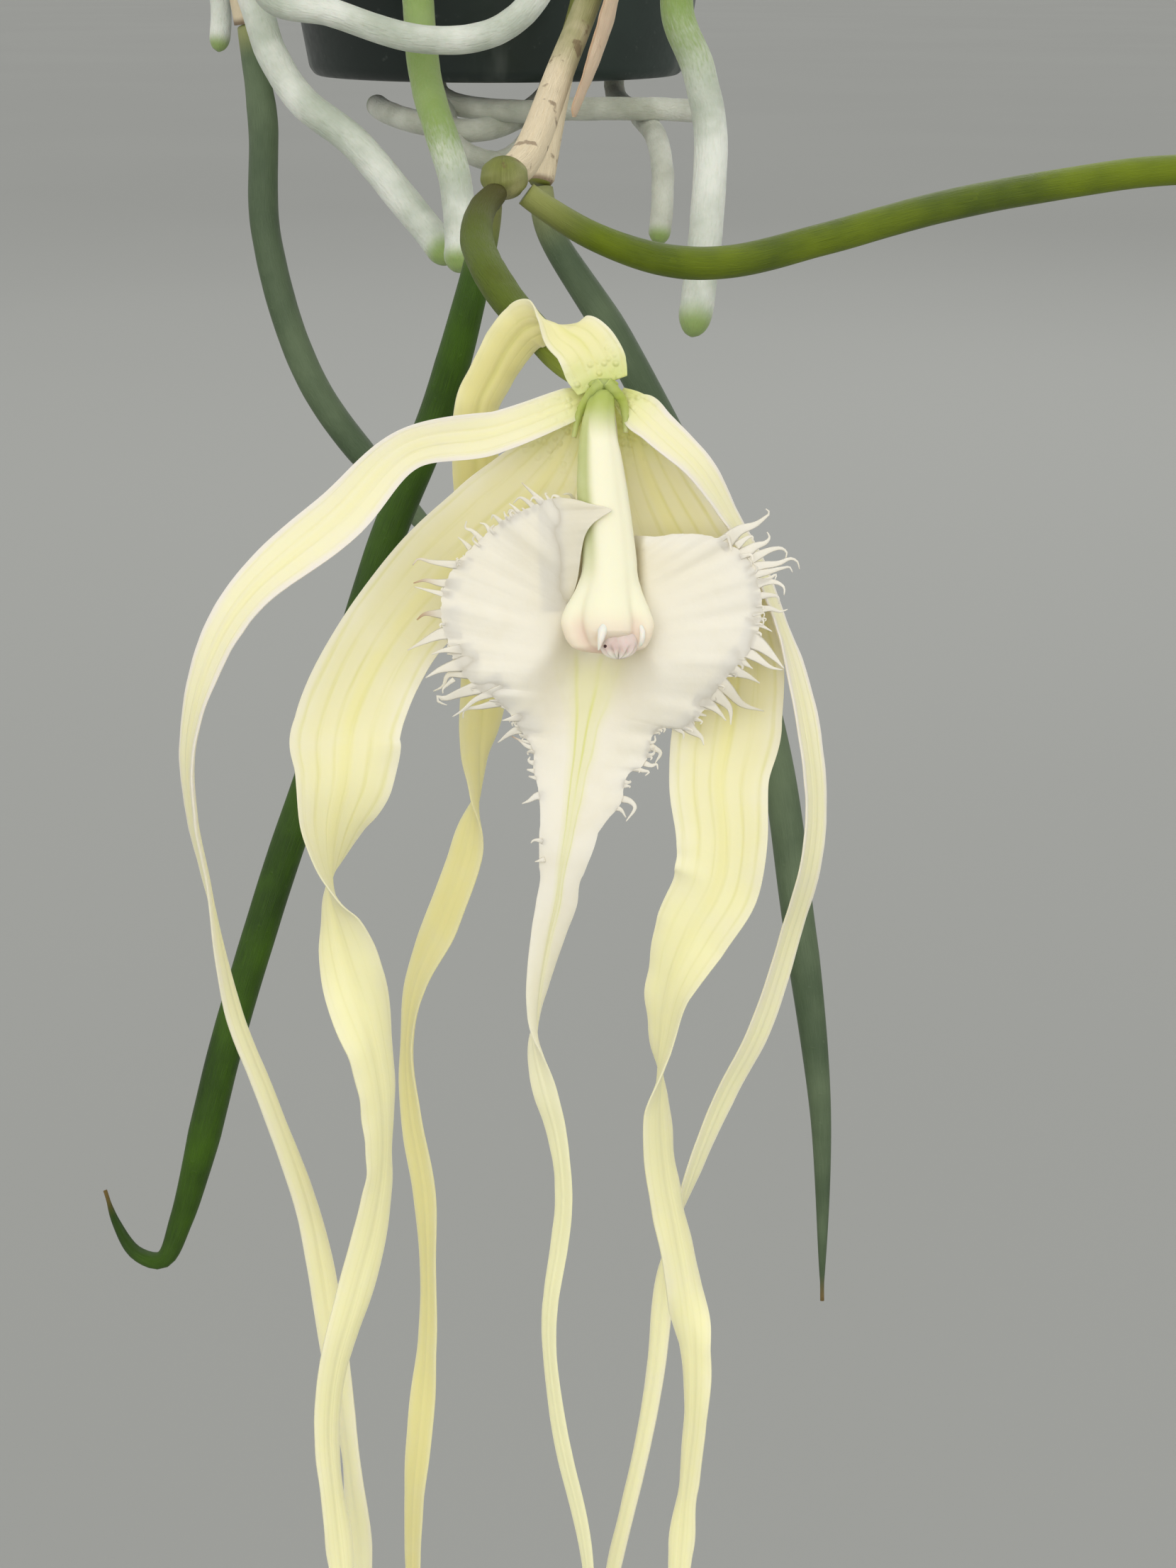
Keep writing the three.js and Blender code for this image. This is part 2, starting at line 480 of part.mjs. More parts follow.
// Each growth is a stem and the leaf that carries on from it.
const GROWTHS = [
  {
    name: "front", look: LOOK.greyLeaf, leafRadius: 1.9,
    stem: [[12, -16, SUNK], [17, -27, -104], [20.5, -36.5, -100.5], [21, -43.5, -112], [17, -41, -140],
      [12.5, -34.5, -160], [10.9, -32, -168.5], [8.6, -35.6, -177], [6.3, -42.2, -188.1]],
    leaf: [[6.3, -42.2, -188.1], [7.2, -43.9, -192.7], [15.3, -48, -205.2], [24.7, -52.9, -223.3],
      [33, -59, -249.1], [36, -65, -268], [38.8, -72, -290.5], [39, -79.5, -311]],
  },
  {
    name: "left", look: LOOK.greyLeaf, leafRadius: 1.7,
    stem: [[-14, -10, SUNK], [-19, -22, -104], [-24.5, -33, -101], [-28, -37, -112], [-30, -36, -135],
      [-29.5, -32, -158], [-27.6, -31.5, -171]],
    leaf: [[-27.6, -31.5, -171], [-25.8, -35.5, -181.2], [-25.5, -39.1, -194.1], [-20.4, -42, -210.8],
      [-9.2, -44.1, -225.3], [-0.9, -45.3, -234.5]],
  },
  {
    name: "right", look: LOOK.leaf, leafRadius: 1.8,
    stem: [[16, 2, SUNK], [21, 3, -104], [29, 4, -91], [38, 5, -86]],
    leaf: [[38, 5, -86], [55, 8, -84], [75, 10, -94], [92, 12, -115], [101, 14, -140]],
  },
  {
    name: "back_right", look: LOOK.leaf, leafRadius: 1.7,
    stem: [[10, 14, SUNK], [15, 22, -102], [21, 31, -89], [28, 40, -83]],
    leaf: [[28, 40, -83], [39, 54, -80], [52, 68, -89], [61, 78, -109], [65, 84, -136]],
  },
  {
    name: "back_left", look: LOOK.leaf, leafRadius: 1.8,
    stem: [[-8, 14, SUNK], [-13, 23, -102], [-18, 33, -89], [-24, 43, -82]],
    leaf: [[-24, 43, -82], [-34, 58, -80], [-44, 72, -90], [-51, 83, -112], [-54, 88, -141]],
  },
  {
    name: "left_side", look: LOOK.leaf, leafRadius: 1.7,
    stem: [[-16, 3, SUNK], [-23, 5, -103], [-31, 7, -91], [-40, 9, -85]],
    leaf: [[-40, 9, -85], [-55, 12, -81], [-72, 15, -90], [-87, 18, -110], [-94, 20, -138]],
  },
  {
    name: "young", look: LOOK.oliveLeaf, leafRadius: 1.5,
    stem: [[1, 9, SUNK], [1.5, 12, -105], [1.5, 15, -90]],
    leaf: [[1.5, 15, -90], [2, 19, -72], [2.5, 25, -52], [4, 34, -32]],
  },
];

const FLOWER_STEM = [
  [6, -8, SUNK], [7.5, -22, -103], [9, -37, -98], [11.5, -54, -103], [13.5, -69, -122],
  [14.5, -77, -146], [13.1, -81, -163], [8.9, -89.4, -174.3], [5.9, -98, -181], [4.3, -100.7, -182.2],
];
const FLOWER_LEAVES = {
  olive: [[5, -100.6, -182.6], [7.3, -100.4, -184.4], [12.4, -99.4, -187.5], [18.8, -97.1, -189.8],
    [24.8, -94.1, -190.3], [33.8, -89.3, -188.8], [45.6, -83.2, -186.5], [58, -77.3, -184.9],
    [70.9, -71.6, -184], [88, -64, -185.5], [106, -57, -190], [122, -51, -197]],
  main: [[3, -99.6, -183.2], [2.6, -98.4, -186.4], [0.8, -98.3, -193.7], [-2.1, -97.7, -203.1],
    [-7.4, -98.1, -215.8], [-13.9, -100.8, -235.1], [-18.9, -102.7, -249], [-24, -105.3, -264.8],
    [-29, -108.7, -282.6], [-31, -109.9, -286.6], [-33.6, -109.6, -286], [-35.6, -108.7, -283],
    [-36.7, -107.6, -280]],
};

// Aerial roots that climb over the rim. They end in a growing tip.
const ROOTS = [
  { name: "root_loop", radius: 1.45, look: LOOK.root,
    route: [[-10, -16, SUNK], [-13, -27, -106], [-16, -38, -102], [-19, -46, -112], [-22, -52, -135],
      [-22.8, -55, -155], [-21.8, -55.4, -167.6], [-15.5, -55.5, -169.3], [-7.3, -56.4, -171.7],
      [-0.6, -56.6, -171.9], [3.5, -56.1, -170.4], [7, -55.2, -166.4], [9, -53, -154], [9.5, -51, -144]] },
  { name: "root_slanting", radius: 1.75, look: LOOK.root,
    route: [[-22, -8, SUNK], [-29, -14, -106], [-35.5, -20.5, -103], [-38, -28, -116],
      [-37, -38, -132], [-31, -43.5, -152], [-25, -43.5, -168.3], [-22.8, -46.7, -174.1],
      [-19.2, -49.5, -178.8], [-13.7, -52, -182.7], [-9, -54.8, -187.7], [-5.1, -58, -191.9],
      [-3, -60.6, -194.4]] },
  { name: "root_green", radius: 1.75, look: LOOK.greenRoot,
    route: [[-5, -18, SUNK], [-6.5, -29, -106], [-8, -38.5, -102], [-8.5, -43.5, -112],
      [-8, -43.5, -140], [-6.9, -44.6, -168.2], [-6.1, -49.3, -175.5], [-4.2, -55.5, -181],
      [-2.4, -60, -185.9], [-1.6, -64.2, -191.3], [-1.8, -66.5, -194.7]] },
  { name: "root_right", radius: 1.85, look: LOOK.root,
    route: [[18, -12, SUNK], [23, -21, -106], [28.5, -29.5, -102], [32, -35, -114], [28, -39, -142],
      [21.6, -40.4, -168.3], [23.9, -45.2, -175.6], [25.1, -48.3, -181.4], [24.7, -53.6, -190],
      [23.9, -57.2, -197.2], [22.9, -60.1, -202.4]] },
  { name: "root_left", radius: 1.3, look: LOOK.root,
    route: [[-24, -2, SUNK], [-32, -4, -106], [-39, -6, -104], [-42, -7, -118], [-38, -6.5, -150],
      [-34.5, -6, -168.9], [-34.8, -7.3, -175]] },
];

// Roots that leave through the holes in the pot's floor and run along under it, grown into each other
const BASE_ROOTS = [
  { radius: 1.35, route: [[-7.5, -13, -177], [-6.5, -14.5, -180], [3, -21, -181.4],
    [9.2, -25, -180.9], [16, -25.5, -180.8], [22, -24, -181], [27.5, -19, -181.6]] },
  { radius: 1.4, route: [[7.5, -13, -177], [6.5, -14, -180], [-1, -20, -183.6], [-8, -19.5, -183],
    [-13, -14, -182], [-15.5, -6, -181.4]] },
  { radius: 1.2, route: [[-6, -15.5, -180.6], [-4, -22, -185.5], [1, -23, -187], [5, -19, -184],
    [5.6, -15, -180.6]] },
  { radius: 1.3, route: [[15, 0, -177], [15.2, -2, -180.2], [18, -18, -182], [20, -29, -184.5],
    [20.4, -36, -189], [19.9, -39.5, -195]] },
];

function tube(route, radius) {
  const steps = 2 * (route.length - 1);
  return stalk(route, rootBody(radius), { sides: 7, steps, byLength: false });
}

function buildRoots() {
  for (const { name, radius, route, look } of ROOTS) {
    add(name, tube(route, radius), look);
    leaveHole(route, radius);
  }
  const under = joined(BASE_ROOTS.map(({ route, radius }) => tube(route, radius)));
  add("roots_base", geometryOf(under), LOOK.root);
}

function buildGrowths() {
  for (const { name, look, leafRadius, stem, leaf } of GROWTHS) {
    const joints = Math.max(2, Math.round(curveOf(stem).getLength() / JOINT));
    const shares = jointShares(joints);
    add("stem_" + name, stalk(stem, sheathed(STEM_RADIUS, joints), { sides: 7, shares }), LOOK.stem);
    leaveHole(stem, STEM_RADIUS * FLARE);
    const clear = { from: LEAF_SEAT / curveOf(leaf).getLength() };
    const body = stalk(leaf, terete(leafRadius), { sides: 7, steps: 14, groove: 0.3, ...clear });
    add("leaf_" + name, body, look);
  }
}

function buildFlowerStem() {
  const body = joined([
    stalk(FLOWER_STEM, sheathed(STEM_RADIUS, FLOWER_JOINTS), {
      sides: 8,
      shares: jointShares(FLOWER_JOINTS),
    }),
    ball(NODE, 0, 10),
  ]);
  add("stem_flowering", geometryOf(body), LOOK.stem);
  leaveHole(FLOWER_STEM, STEM_RADIUS * FLARE);
  const clearNode = solidOf(ball(NODE, GAP, 10));
  const leaf = (route, radius, steps) =>
    geometryOf(solidOf(stalk(route, terete(radius, 0.2), { sides: 8, steps, groove: 0.3 }))
      .subtract(clearNode));
  add("leaf_olive", leaf(FLOWER_LEAVES.olive, 1.5, 22), LOOK.oliveLeaf);
  add("leaf_main", leaf(FLOWER_LEAVES.main, 1.65, 24), LOOK.leaf);
}

const SHEATH_WIDTHS = [2.6, 3, 3, 2.6, 1.2];
const SHEATH_TURN = 57; // degrees to the right, off the stem's front

// The papery sheath that has come loose from the last joint of the flowering stem
function buildLooseSheath() {
  const stem = curveOf(FLOWER_STEM);
  const stations = [0.62, 0.7, 0.78, 0.86, 0.93].map((s, i) => {
    const at = stem.getPointAt(s);
    const drift = STEM_RADIUS * FLARE + BLADE / 2 + GAP + 0.15 * i;
    return [at.x + 0.84 * drift, at.y - 0.55 * drift, at.z - 0.2 * i, SHEATH_WIDTHS[i], SHEATH_TURN];
  });
  add("sheath_loose", ribbon(stations, { steps: 10, across: 2, cup: -0.1 }), LOOK.sheath);
}

function buildPot() {
  const outer = (z) =>
    POT_BASE_RADIUS + ((POT_TOP_RADIUS - POT_BASE_RADIUS) * (z - POT_BASE)) / POT_HEIGHT;
  const under = RIM_TOP - RIM_DEPTH;
  const floor = POT_BASE + POT_FLOOR;
  const profile = [
    [0, POT_BASE + 0.8], [POT_BASE_RADIUS - 3, POT_BASE + 0.8], [POT_BASE_RADIUS - 2, POT_BASE],
    [POT_BASE_RADIUS - 0.6, POT_BASE], [outer(POT_BASE + 1), POT_BASE + 1],
    [outer(under), under], [RIM_RADIUS - 0.5, under], [RIM_RADIUS, under + 0.6],
    [RIM_RADIUS, RIM_TOP - 0.8], [RIM_RADIUS - 0.6, RIM_TOP], [RIM_RADIUS - RIM_LIP, RIM_TOP],
    [outer(RIM_TOP - 2) - POT_WALL, RIM_TOP - 2], [outer(floor) - POT_WALL, floor], [0, floor],
  ].map(([r, z]) => new THREE.Vector2(r, z));
  const body = new THREE.LatheGeometry(profile, 36).rotateX(Math.PI / 2);
  let pot = solidOf(body);
  if (pot.volume() < 0) pot = solidOf(turned(mergeVertices(bareOf(body), 1e-4)));
  for (let i = 0; i < DRAIN_COUNT; i += 1) {
    const angle = (2 * Math.PI * i) / DRAIN_COUNT;
    const drill = new THREE.CylinderGeometry(DRAIN_RADIUS, DRAIN_RADIUS, 8, 10)
      .rotateX(Math.PI / 2)
      .translate(DRAIN_CIRCLE * Math.cos(angle), DRAIN_CIRCLE * Math.sin(angle), POT_BASE + 1);
    pot = pot.subtract(solidOf(drill));
  }
  add("pot", geometryOf(pot), LOOK.pot);
  return { outer, floor };
}

function bareOf(geometry) {
  const bare = new THREE.BufferGeometry();
  bare.setAttribute("position", geometry.toNonIndexed().getAttribute("position"));
  return bare;
}

function buildBark({ outer, floor }) {
  const inside = (z) => outer(z) - POT_WALL - GAP;
  const low = floor + GAP;
  const profile = [
    [0, low], [inside(low) - 0.4, low], [inside(BARK_TOP) - 0.2, BARK_TOP],
    [inside(BARK_TOP) * 0.7, BARK_TOP + 0.6 * BARK_CROWN], [0, BARK_TOP + BARK_CROWN],
  ].map(([r, z]) => new THREE.Vector2(r, z));
  const core = new THREE.LatheGeometry(profile, 24).rotateX(Math.PI / 2);
  let bark = solidOf(core);
  if (bark.volume() < 0) bark = solidOf(turned(mergeVertices(bareOf(core), 1e-4)));
  const draw = randomStream(5);
  for (let i = 0; i < CHIP_COUNT; i += 1) {
    const reach = 24.5 * Math.sqrt((i + 0.5) / CHIP_COUNT);
    const angle = i * 2.39996;
    const chip = new THREE.BoxGeometry(
      CHIP[0] * (0.7 + 0.5 * draw()), CHIP[1] * (0.7 + 0.5 * draw()), CHIP[2]);
    chip.rotateX(0.7 * (draw() - 0.5)).rotateY(0.7 * (draw() - 0.5)).rotateZ(Math.PI * draw());
    const height = BARK_TOP + BARK_CROWN * (1 - reach / 34) + 0.3 + 0.9 * draw();
    chip.translate(reach * Math.cos(angle), reach * Math.sin(angle), height);
    bark = bark.add(solidOf(chip));
  }
  for (const hole of standing) bark = bark.subtract(solidOf(hole));
  add("bark", geometryOf(mainBody(bark)), LOOK.bark);
}

function buildHanger() {
  const rimGap = RIM_RADIUS + GAP + WIRE;
  const pieces = [];
  for (let i = 0; i < WIRE_COUNT; i += 1) {
    const angle = (2 * Math.PI * i) / WIRE_COUNT + Math.PI / 6;
    const at = (r, z) => [r * Math.cos(angle), r * Math.sin(angle), z];
    const under = RIM_TOP - RIM_DEPTH - GAP - WIRE;
    const route = [at(rimGap - 1.6, under - 0.1), at(rimGap - 0.4, under + 0.3), at(rimGap, under + 1.8),
      at(rimGap, RIM_TOP + 0.5), at(rimGap - 1.2, RIM_TOP + 6), at(1.6, NECK_Z - 4), at(0.2, NECK_Z + 1)];
    pieces.push(stalk(route, () => WIRE, { sides: 6, steps: 12, byLength: false }));
  }
  const crown = HOOK_RADIUS - HOOK_WIRE; // the hook's inside above its centre
  const hook = [[0, 0, NECK_Z - 3], [0, 0, NECK_Z + 4]];
  for (let degrees = -70; degrees <= 190; degrees += 26) {
    const angle = THREE.MathUtils.degToRad(degrees);
    hook.push([HOOK_RADIUS * Math.cos(angle), 0, HOOK_RADIUS * Math.sin(angle) - crown]);
  }
  pieces.push(stalk(hook, () => HOOK_WIRE, { sides: 6, steps: 22, byLength: false }));
  pieces.push(ball({ at: new THREE.Vector3(0, 0, NECK_Z), size: [2.2, 2.2, 4] }, 0, 9));
  add("hanger", geometryOf(joined(pieces)), LOOK.wire);
}

buildFlower();
buildPedicel();
buildFlowerStem();
buildLooseSheath();
buildGrowths();
buildRoots();
buildBark(buildPot());
buildHanger();

export default part;
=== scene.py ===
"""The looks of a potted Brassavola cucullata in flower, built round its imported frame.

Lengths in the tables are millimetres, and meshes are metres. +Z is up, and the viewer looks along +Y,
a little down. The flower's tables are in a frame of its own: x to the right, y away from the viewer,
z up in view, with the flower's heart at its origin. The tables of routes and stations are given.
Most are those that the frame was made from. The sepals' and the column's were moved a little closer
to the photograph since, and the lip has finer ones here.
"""

from __future__ import annotations

import logging
import math
from collections.abc import Callable, Sequence
from dataclasses import dataclass
from enum import Enum

import bpy
import numpy as np
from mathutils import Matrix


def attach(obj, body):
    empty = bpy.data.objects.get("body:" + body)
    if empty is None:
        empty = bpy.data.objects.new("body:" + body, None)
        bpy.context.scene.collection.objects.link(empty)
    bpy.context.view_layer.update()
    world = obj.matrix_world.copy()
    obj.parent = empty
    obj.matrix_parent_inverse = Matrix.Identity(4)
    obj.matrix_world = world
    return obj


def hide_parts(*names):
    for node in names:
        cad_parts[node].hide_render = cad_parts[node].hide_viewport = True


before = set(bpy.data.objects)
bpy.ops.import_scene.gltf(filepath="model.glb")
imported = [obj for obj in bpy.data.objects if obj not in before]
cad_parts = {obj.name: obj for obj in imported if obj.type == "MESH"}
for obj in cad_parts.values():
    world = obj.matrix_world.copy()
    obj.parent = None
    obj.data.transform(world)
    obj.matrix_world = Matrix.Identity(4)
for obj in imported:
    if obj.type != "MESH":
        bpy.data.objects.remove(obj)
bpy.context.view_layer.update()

LOG = logging.getLogger("orchid")
MM = 0.001
BODY = "root"

Colour = tuple[float, float, float]
Rows = Sequence[tuple[float, ...]]
Relief = Callable[[np.ndarray, np.ndarray], np.ndarray]

# The flower's own frame, and the angle of the front where angles run from the right by the back
VIEW_TILT = math.radians(20)
FRONT = 1.5 * np.pi
HEART = np.array([12.8, -131.1, -195.4])

# Petals and sepals: x, y, z of the midline, width, turn in degrees (0 lies flat to the viewer)
PETAL_LEFT = [
    (-0.9, 1.1, -0.5, 1.5, 0), (-2.6, 0.2, -1.3, 2.7, 0), (-8.2, -1, -3.6, 3.2, 0),
    (-14.9, -3, -5.2, 3.2, 12), (-19.8, -5, -10.5, 4.1, 0), (-26.5, -6, -16.5, 3.8, -28),
    (-29.3, -6, -21.1, 3.4, -36), (-31.2, -5, -27.7, 3, -58), (-31.3, -3, -33.1, 2.8, -68),
    (-30.8, 0, -38.1, 2.6, -74), (-29.5, 6, -49, 2.4, -112), (-27.2, 10, -56.9, 2.4, -116),
    (-24.8, 15, -66.2, 2.4, -130), (-23.9, 16.5, -71.2, 2.4, -150), (-23.3, 18, -76.2, 2.4, -165),
    (-22.6, 20, -83.3, 2.4, -205), (-21.9, 22, -90, 2.4, -225), (-21.5, 26, -99.8, 2.3, -190),
    (-21.7, 30, -110, 0.9, -180),
]
PETAL_RIGHT = [
    (1.3, 1.1, -0.4, 1.5, 0), (2.5, 0.4, -1.4, 2.5, 0), (4.4, 0.2, -3.2, 3.1, 20),
    (7.5, 0.5, -6.2, 3.2, 40), (10, 1.7, -9.9, 3.3, 60), (12.2, 2.9, -13.6, 3.3, 66),
    (13.9, 3, -17.8, 3.2, 68), (15.2, 2.6, -22, 3.2, 58), (16.3, 2.2, -27.6, 3, 50),
    (16.8, 3, -32.7, 2.8, 50), (16.4, 4, -37.4, 2.8, 50), (15.1, 7, -43, 2.7, 48),
    (12.8, 10, -51.1, 2.6, 43), (10.1, 13, -57, 2.5, 44), (7.6, 16, -64, 2.3, 56),
    (5.9, 19, -70.7, 2.2, 100), (5.3, 21, -76, 2, 148), (4.8, 23, -82.1, 1.9, 142),
    (3.8, 25.5, -89, 1.8, 136), (2.4, 28.5, -96.3, 1.7, 135), (1.2, 31, -102.3, 1.5, 145),
    (0, 34.5, -111, 0.8, 150),
]
SEPAL_DORSAL = [
    (0, -0.2, 0.2, 4.1, 0), (-0.4, -0.5, 1.2, 4.8, 0), (-0.9, -0.6, 2.4, 4.9, -2),
    (-1.7, -0.4, 3.5, 4.6, -6), (-2.8, 0.2, 4.3, 4.2, -24), (-3.9, 1, 5.2, 4, -74),
    (-5, 1.9, 5.5, 4.1, -132), (-6.2, 2.9, 5.2, 4.1, -156), (-7.5, 3.9, 3.9, 4, -156),
    (-8.7, 5, 2, 3.9, -150),
    (-9.9, 6, -0.2, 3.8, -152), (-10.2, 7.2, -2.7, 3.8, -160), (-10.2, 8.5, -5.3, 3.9, -168),
    (-9.6, 12, -12.7, 3.9, -180), (-9.7, 13.5, -19.7, 3.9, -180), (-10, 14.5, -24.4, 3.8, -166),
    (-10.4, 15.5, -28, 3.7, -130), (-10.6, 16.5, -31.9, 3.6, -92), (-11.4, 17.5, -36.4, 3.5, -32),
    (-13.6, 18.5, -42.6, 3.4, -28), (-15.8, 19.5, -47.8, 3.2, -52), (-16.7, 20.5, -53.1, 3, -65),
    (-16.5, 22, -59.5, 2.8, -48), (-15.5, 24, -66.7, 2.7, -38), (-15.3, 26, -73.6, 2.6, -54),
    (-15.5, 28, -81.3, 2.6, -50), (-16.3, 30, -89, 2.5, -22), (-17, 32, -96.1, 2.3, -38),
    (-17.3, 34, -102.6, 2, -40), (-17.4, 37, -111.5, 0.9, -50),
]
SEPAL_LEFT = [
    (-1.3, 2.6, -0.6, 2.4, 0), (-2.5, 3.6, -3.1, 4.2, 0), (-5, 4.3, -6.9, 7.6, 0),
    (-8.5, 4.5, -10.3, 8.6, 0), (-12.8, 4.5, -14.2, 8.4, 0), (-16.3, 4, -18.3, 7.9, 0),
    (-18.7, 3, -22.6, 8.1, 0), (-20, 2, -26.5, 8.4, 0), (-20.3, 1.5, -30.4, 8, 25),
    (-21.2, 2, -34.3, 7.2, 52), (-21.4, 3, -38.1, 6.4, 88), (-21, 4, -41.1, 5.8, 125),
    (-20.1, 5, -45.7, 5.2, 165), (-18.6, 7, -52, 4.8, 228), (-18, 8.5, -57, 4.4, 238),
    (-18.1, 10, -61.8, 4, 244), (-18.8, 11, -66.7, 3.6, 230), (-20.5, 12.5, -73.3, 3.3, 210),
    (-22.4, 14, -79.7, 3, 225), (-23.1, 15.5, -85.5, 2.7, 230), (-22.8, 17, -91.4, 2.5, 226),
    (-22.3, 19, -98, 2.2, 205), (-22.2, 22.5, -108, 0.9, 200),
]
SEPAL_RIGHT = [
    (1.5, 2.6, -0.6, 2.4, 0), (2.5, 3.8, -2.9, 4.2, 0), (3.9, 4.5, -7, 6.6, 0),
    (6.2, 5, -11.7, 7.9, 0), (9.1, 5.1, -16.3, 7.9, 0), (10.4, 4.8, -20.9, 8.1, 0),
    (10.1, 4.2, -25.4, 8.4, 0), (9.3, 3.4, -30.4, 8, -13), (9.6, 3.1, -35.4, 7.5, -23),
    (9.1, 3.5, -38.8, 7.2, -21), (7.1, 4.8, -42.8, 6.6, -27), (5.6, 6, -46.9, 6, -55),
    (4.9, 7.5, -51.6, 5.2, -71), (4.6, 9, -57, 4.6, -114), (5.1, 11, -62.9, 4.2, -127),
    (6.1, 12.5, -68.1, 3.8, -135), (7.1, 14, -73.4, 3.4, -152), (7.9, 15.5, -78.4, 3.1, -217),
    (8, 17, -84.6, 2.8, -231), (7.5, 19, -90.8, 2.5, -231), (6.9, 21, -97.6, 2.2, -205),
    (6.6, 24.5, -108, 0.9, -200),
]
LIP_TAIL = [
    (-1.6, 2.6, -27, 3.2, 0), (-2.1, 2.6, -30.5, 4.2, 0), (-2.6, 2.8, -34.3, 4.6, 0),
    (-3.2, 3.4, -37.6, 3.6, 0), (-3.6, 4.2, -40.3, 3.3, 12), (-4.2, 5, -42.7, 3.1, 28),
    (-5.1, 6.5, -47.2, 2.8, 53), (-5.4, 7.5, -50.1, 2.6, 78), (-5.3, 8.5, -52.6, 2.5, 120),
    (-4.6, 9.5, -55.9, 2.4, 146), (-3.7, 11, -59.4, 2.3, 136), (-3.2, 12, -62.8, 2.2, 130),
    (-3.1, 13, -65.9, 2.1, 132), (-3.5, 14.5, -69.7, 2, 135), (-4.2, 16, -74.2, 1.9, 132),
    (-4.4, 17.5, -78.2, 1.8, 132), (-3.8, 20, -85, 1.8, 136), (-3.1, 21.5, -89.3, 1.8, 141),
    (-1.8, 24, -95.5, 1.6, 144), (-1.1, 26, -100.5, 1.4, 135), (-0.8, 30, -110, 0.8, 130),
]

# The lip's blade: x, z down its midline and down both margins, as far as the hairs' clefts
LIP_MIDDLE = [
    (0.1, -10.3), (0.3, -13.6), (0.3, -15.6), (0.2, -17), (0.1, -18), (0, -18.9), (-0.1, -19.8),
    (-0.3, -20.8), (-0.5, -22), (-0.8, -23.4), (-1.1, -25), (-1.5, -27.2), (-1.9, -29.6), (-2.3, -32),
    (-2.6, -34.3),
]
LIP_LEFT = [
    (-0.4, -9.9), (-1.9, -9.3), (-3.6, -8.8), (-5.7, -9.5), (-7.9, -10.5), (-9.9, -12.2), (-11.5, -13.9),
    (-12.3, -15.5), (-12.5, -17), (-12.4, -18.5), (-11.9, -19.9), (-11.3, -21.6), (-10.2, -22.8),
    (-8.8, -23.7), (-7.4, -25), (-6.8, -25.9), (-6, -27.1), (-5.4, -28.2), (-5.4, -29.6), (-5.1, -30.8),
    (-4.9, -32.4), (-4.87, -34),
]
LIP_RIGHT = [
    (0.9, -10.6), (2.75, -11.4), (3.9, -11.6), (5.75, -11.4), (8, -11.5), (9.4, -11.9), (10.6, -12.6),
    (11.5, -13.6), (12, -14.8), (12.3, -16), (12.4, -17.3), (12.2, -18.3), (12, -19.2), (11.6, -20.3),
    (10.7, -21.3), (9.8, -22.3), (8.9, -23.4), (8.3, -24.4), (7.6, -25.4), (6.6, -26.3), (5.6, -26.4),
    (4.8, -26.3), (4, -26.9), (3.75, -27.8), (3.6, -28.6), (3.1, -29.4), (2.4, -29.7), (1.9, -30.3),
    (1.7, -31.2), (1.6, -32), (1.2, -32.7), (0.5, -33.5), (-0.3, -34.6),
]
# The claw behind the column, x, y, z, width and turn
LIP_CLAW = [(0.2, 1.9, -1.4, 1.6, 0), (0.2, 2, -3, 2, 0), (0.2, 2.6, -7, 2.6, 0), (0.4, 3.1, -13, 3.4, 0)]
# Each row of the lap: x, z where it leaves the wing, then x, y, z of its margin in front of the column
LIP_LAP = [
    (-4.4, -8.9, -3, -2, -8.8), (-4.6, -9.1, -2.1, -2.4, -8.95), (-4.8, -9.5, -0.9, -2.9, -9.35),
    (-4.9, -9.9, 0.7, -3.35, -9.85), (-4.9, -10.5, 0, -3.4, -10.35), (-4.9, -11.1, -0.75, -3.25, -10.9),
    (-4.9, -11.9, -1.3, -2.9, -11.7), (-4.9, -12.9, -1.6, -2.5, -12.9), (-4.8, -14, -1.75, -2.1, -14),
    (-4.8, -15.2, -1.95, -1.6, -15.2), (-4.7, -16.4, -2.4, -1.1, -16.4), (-4.7, -17.4, -3.2, -0.8, -17.4),
]
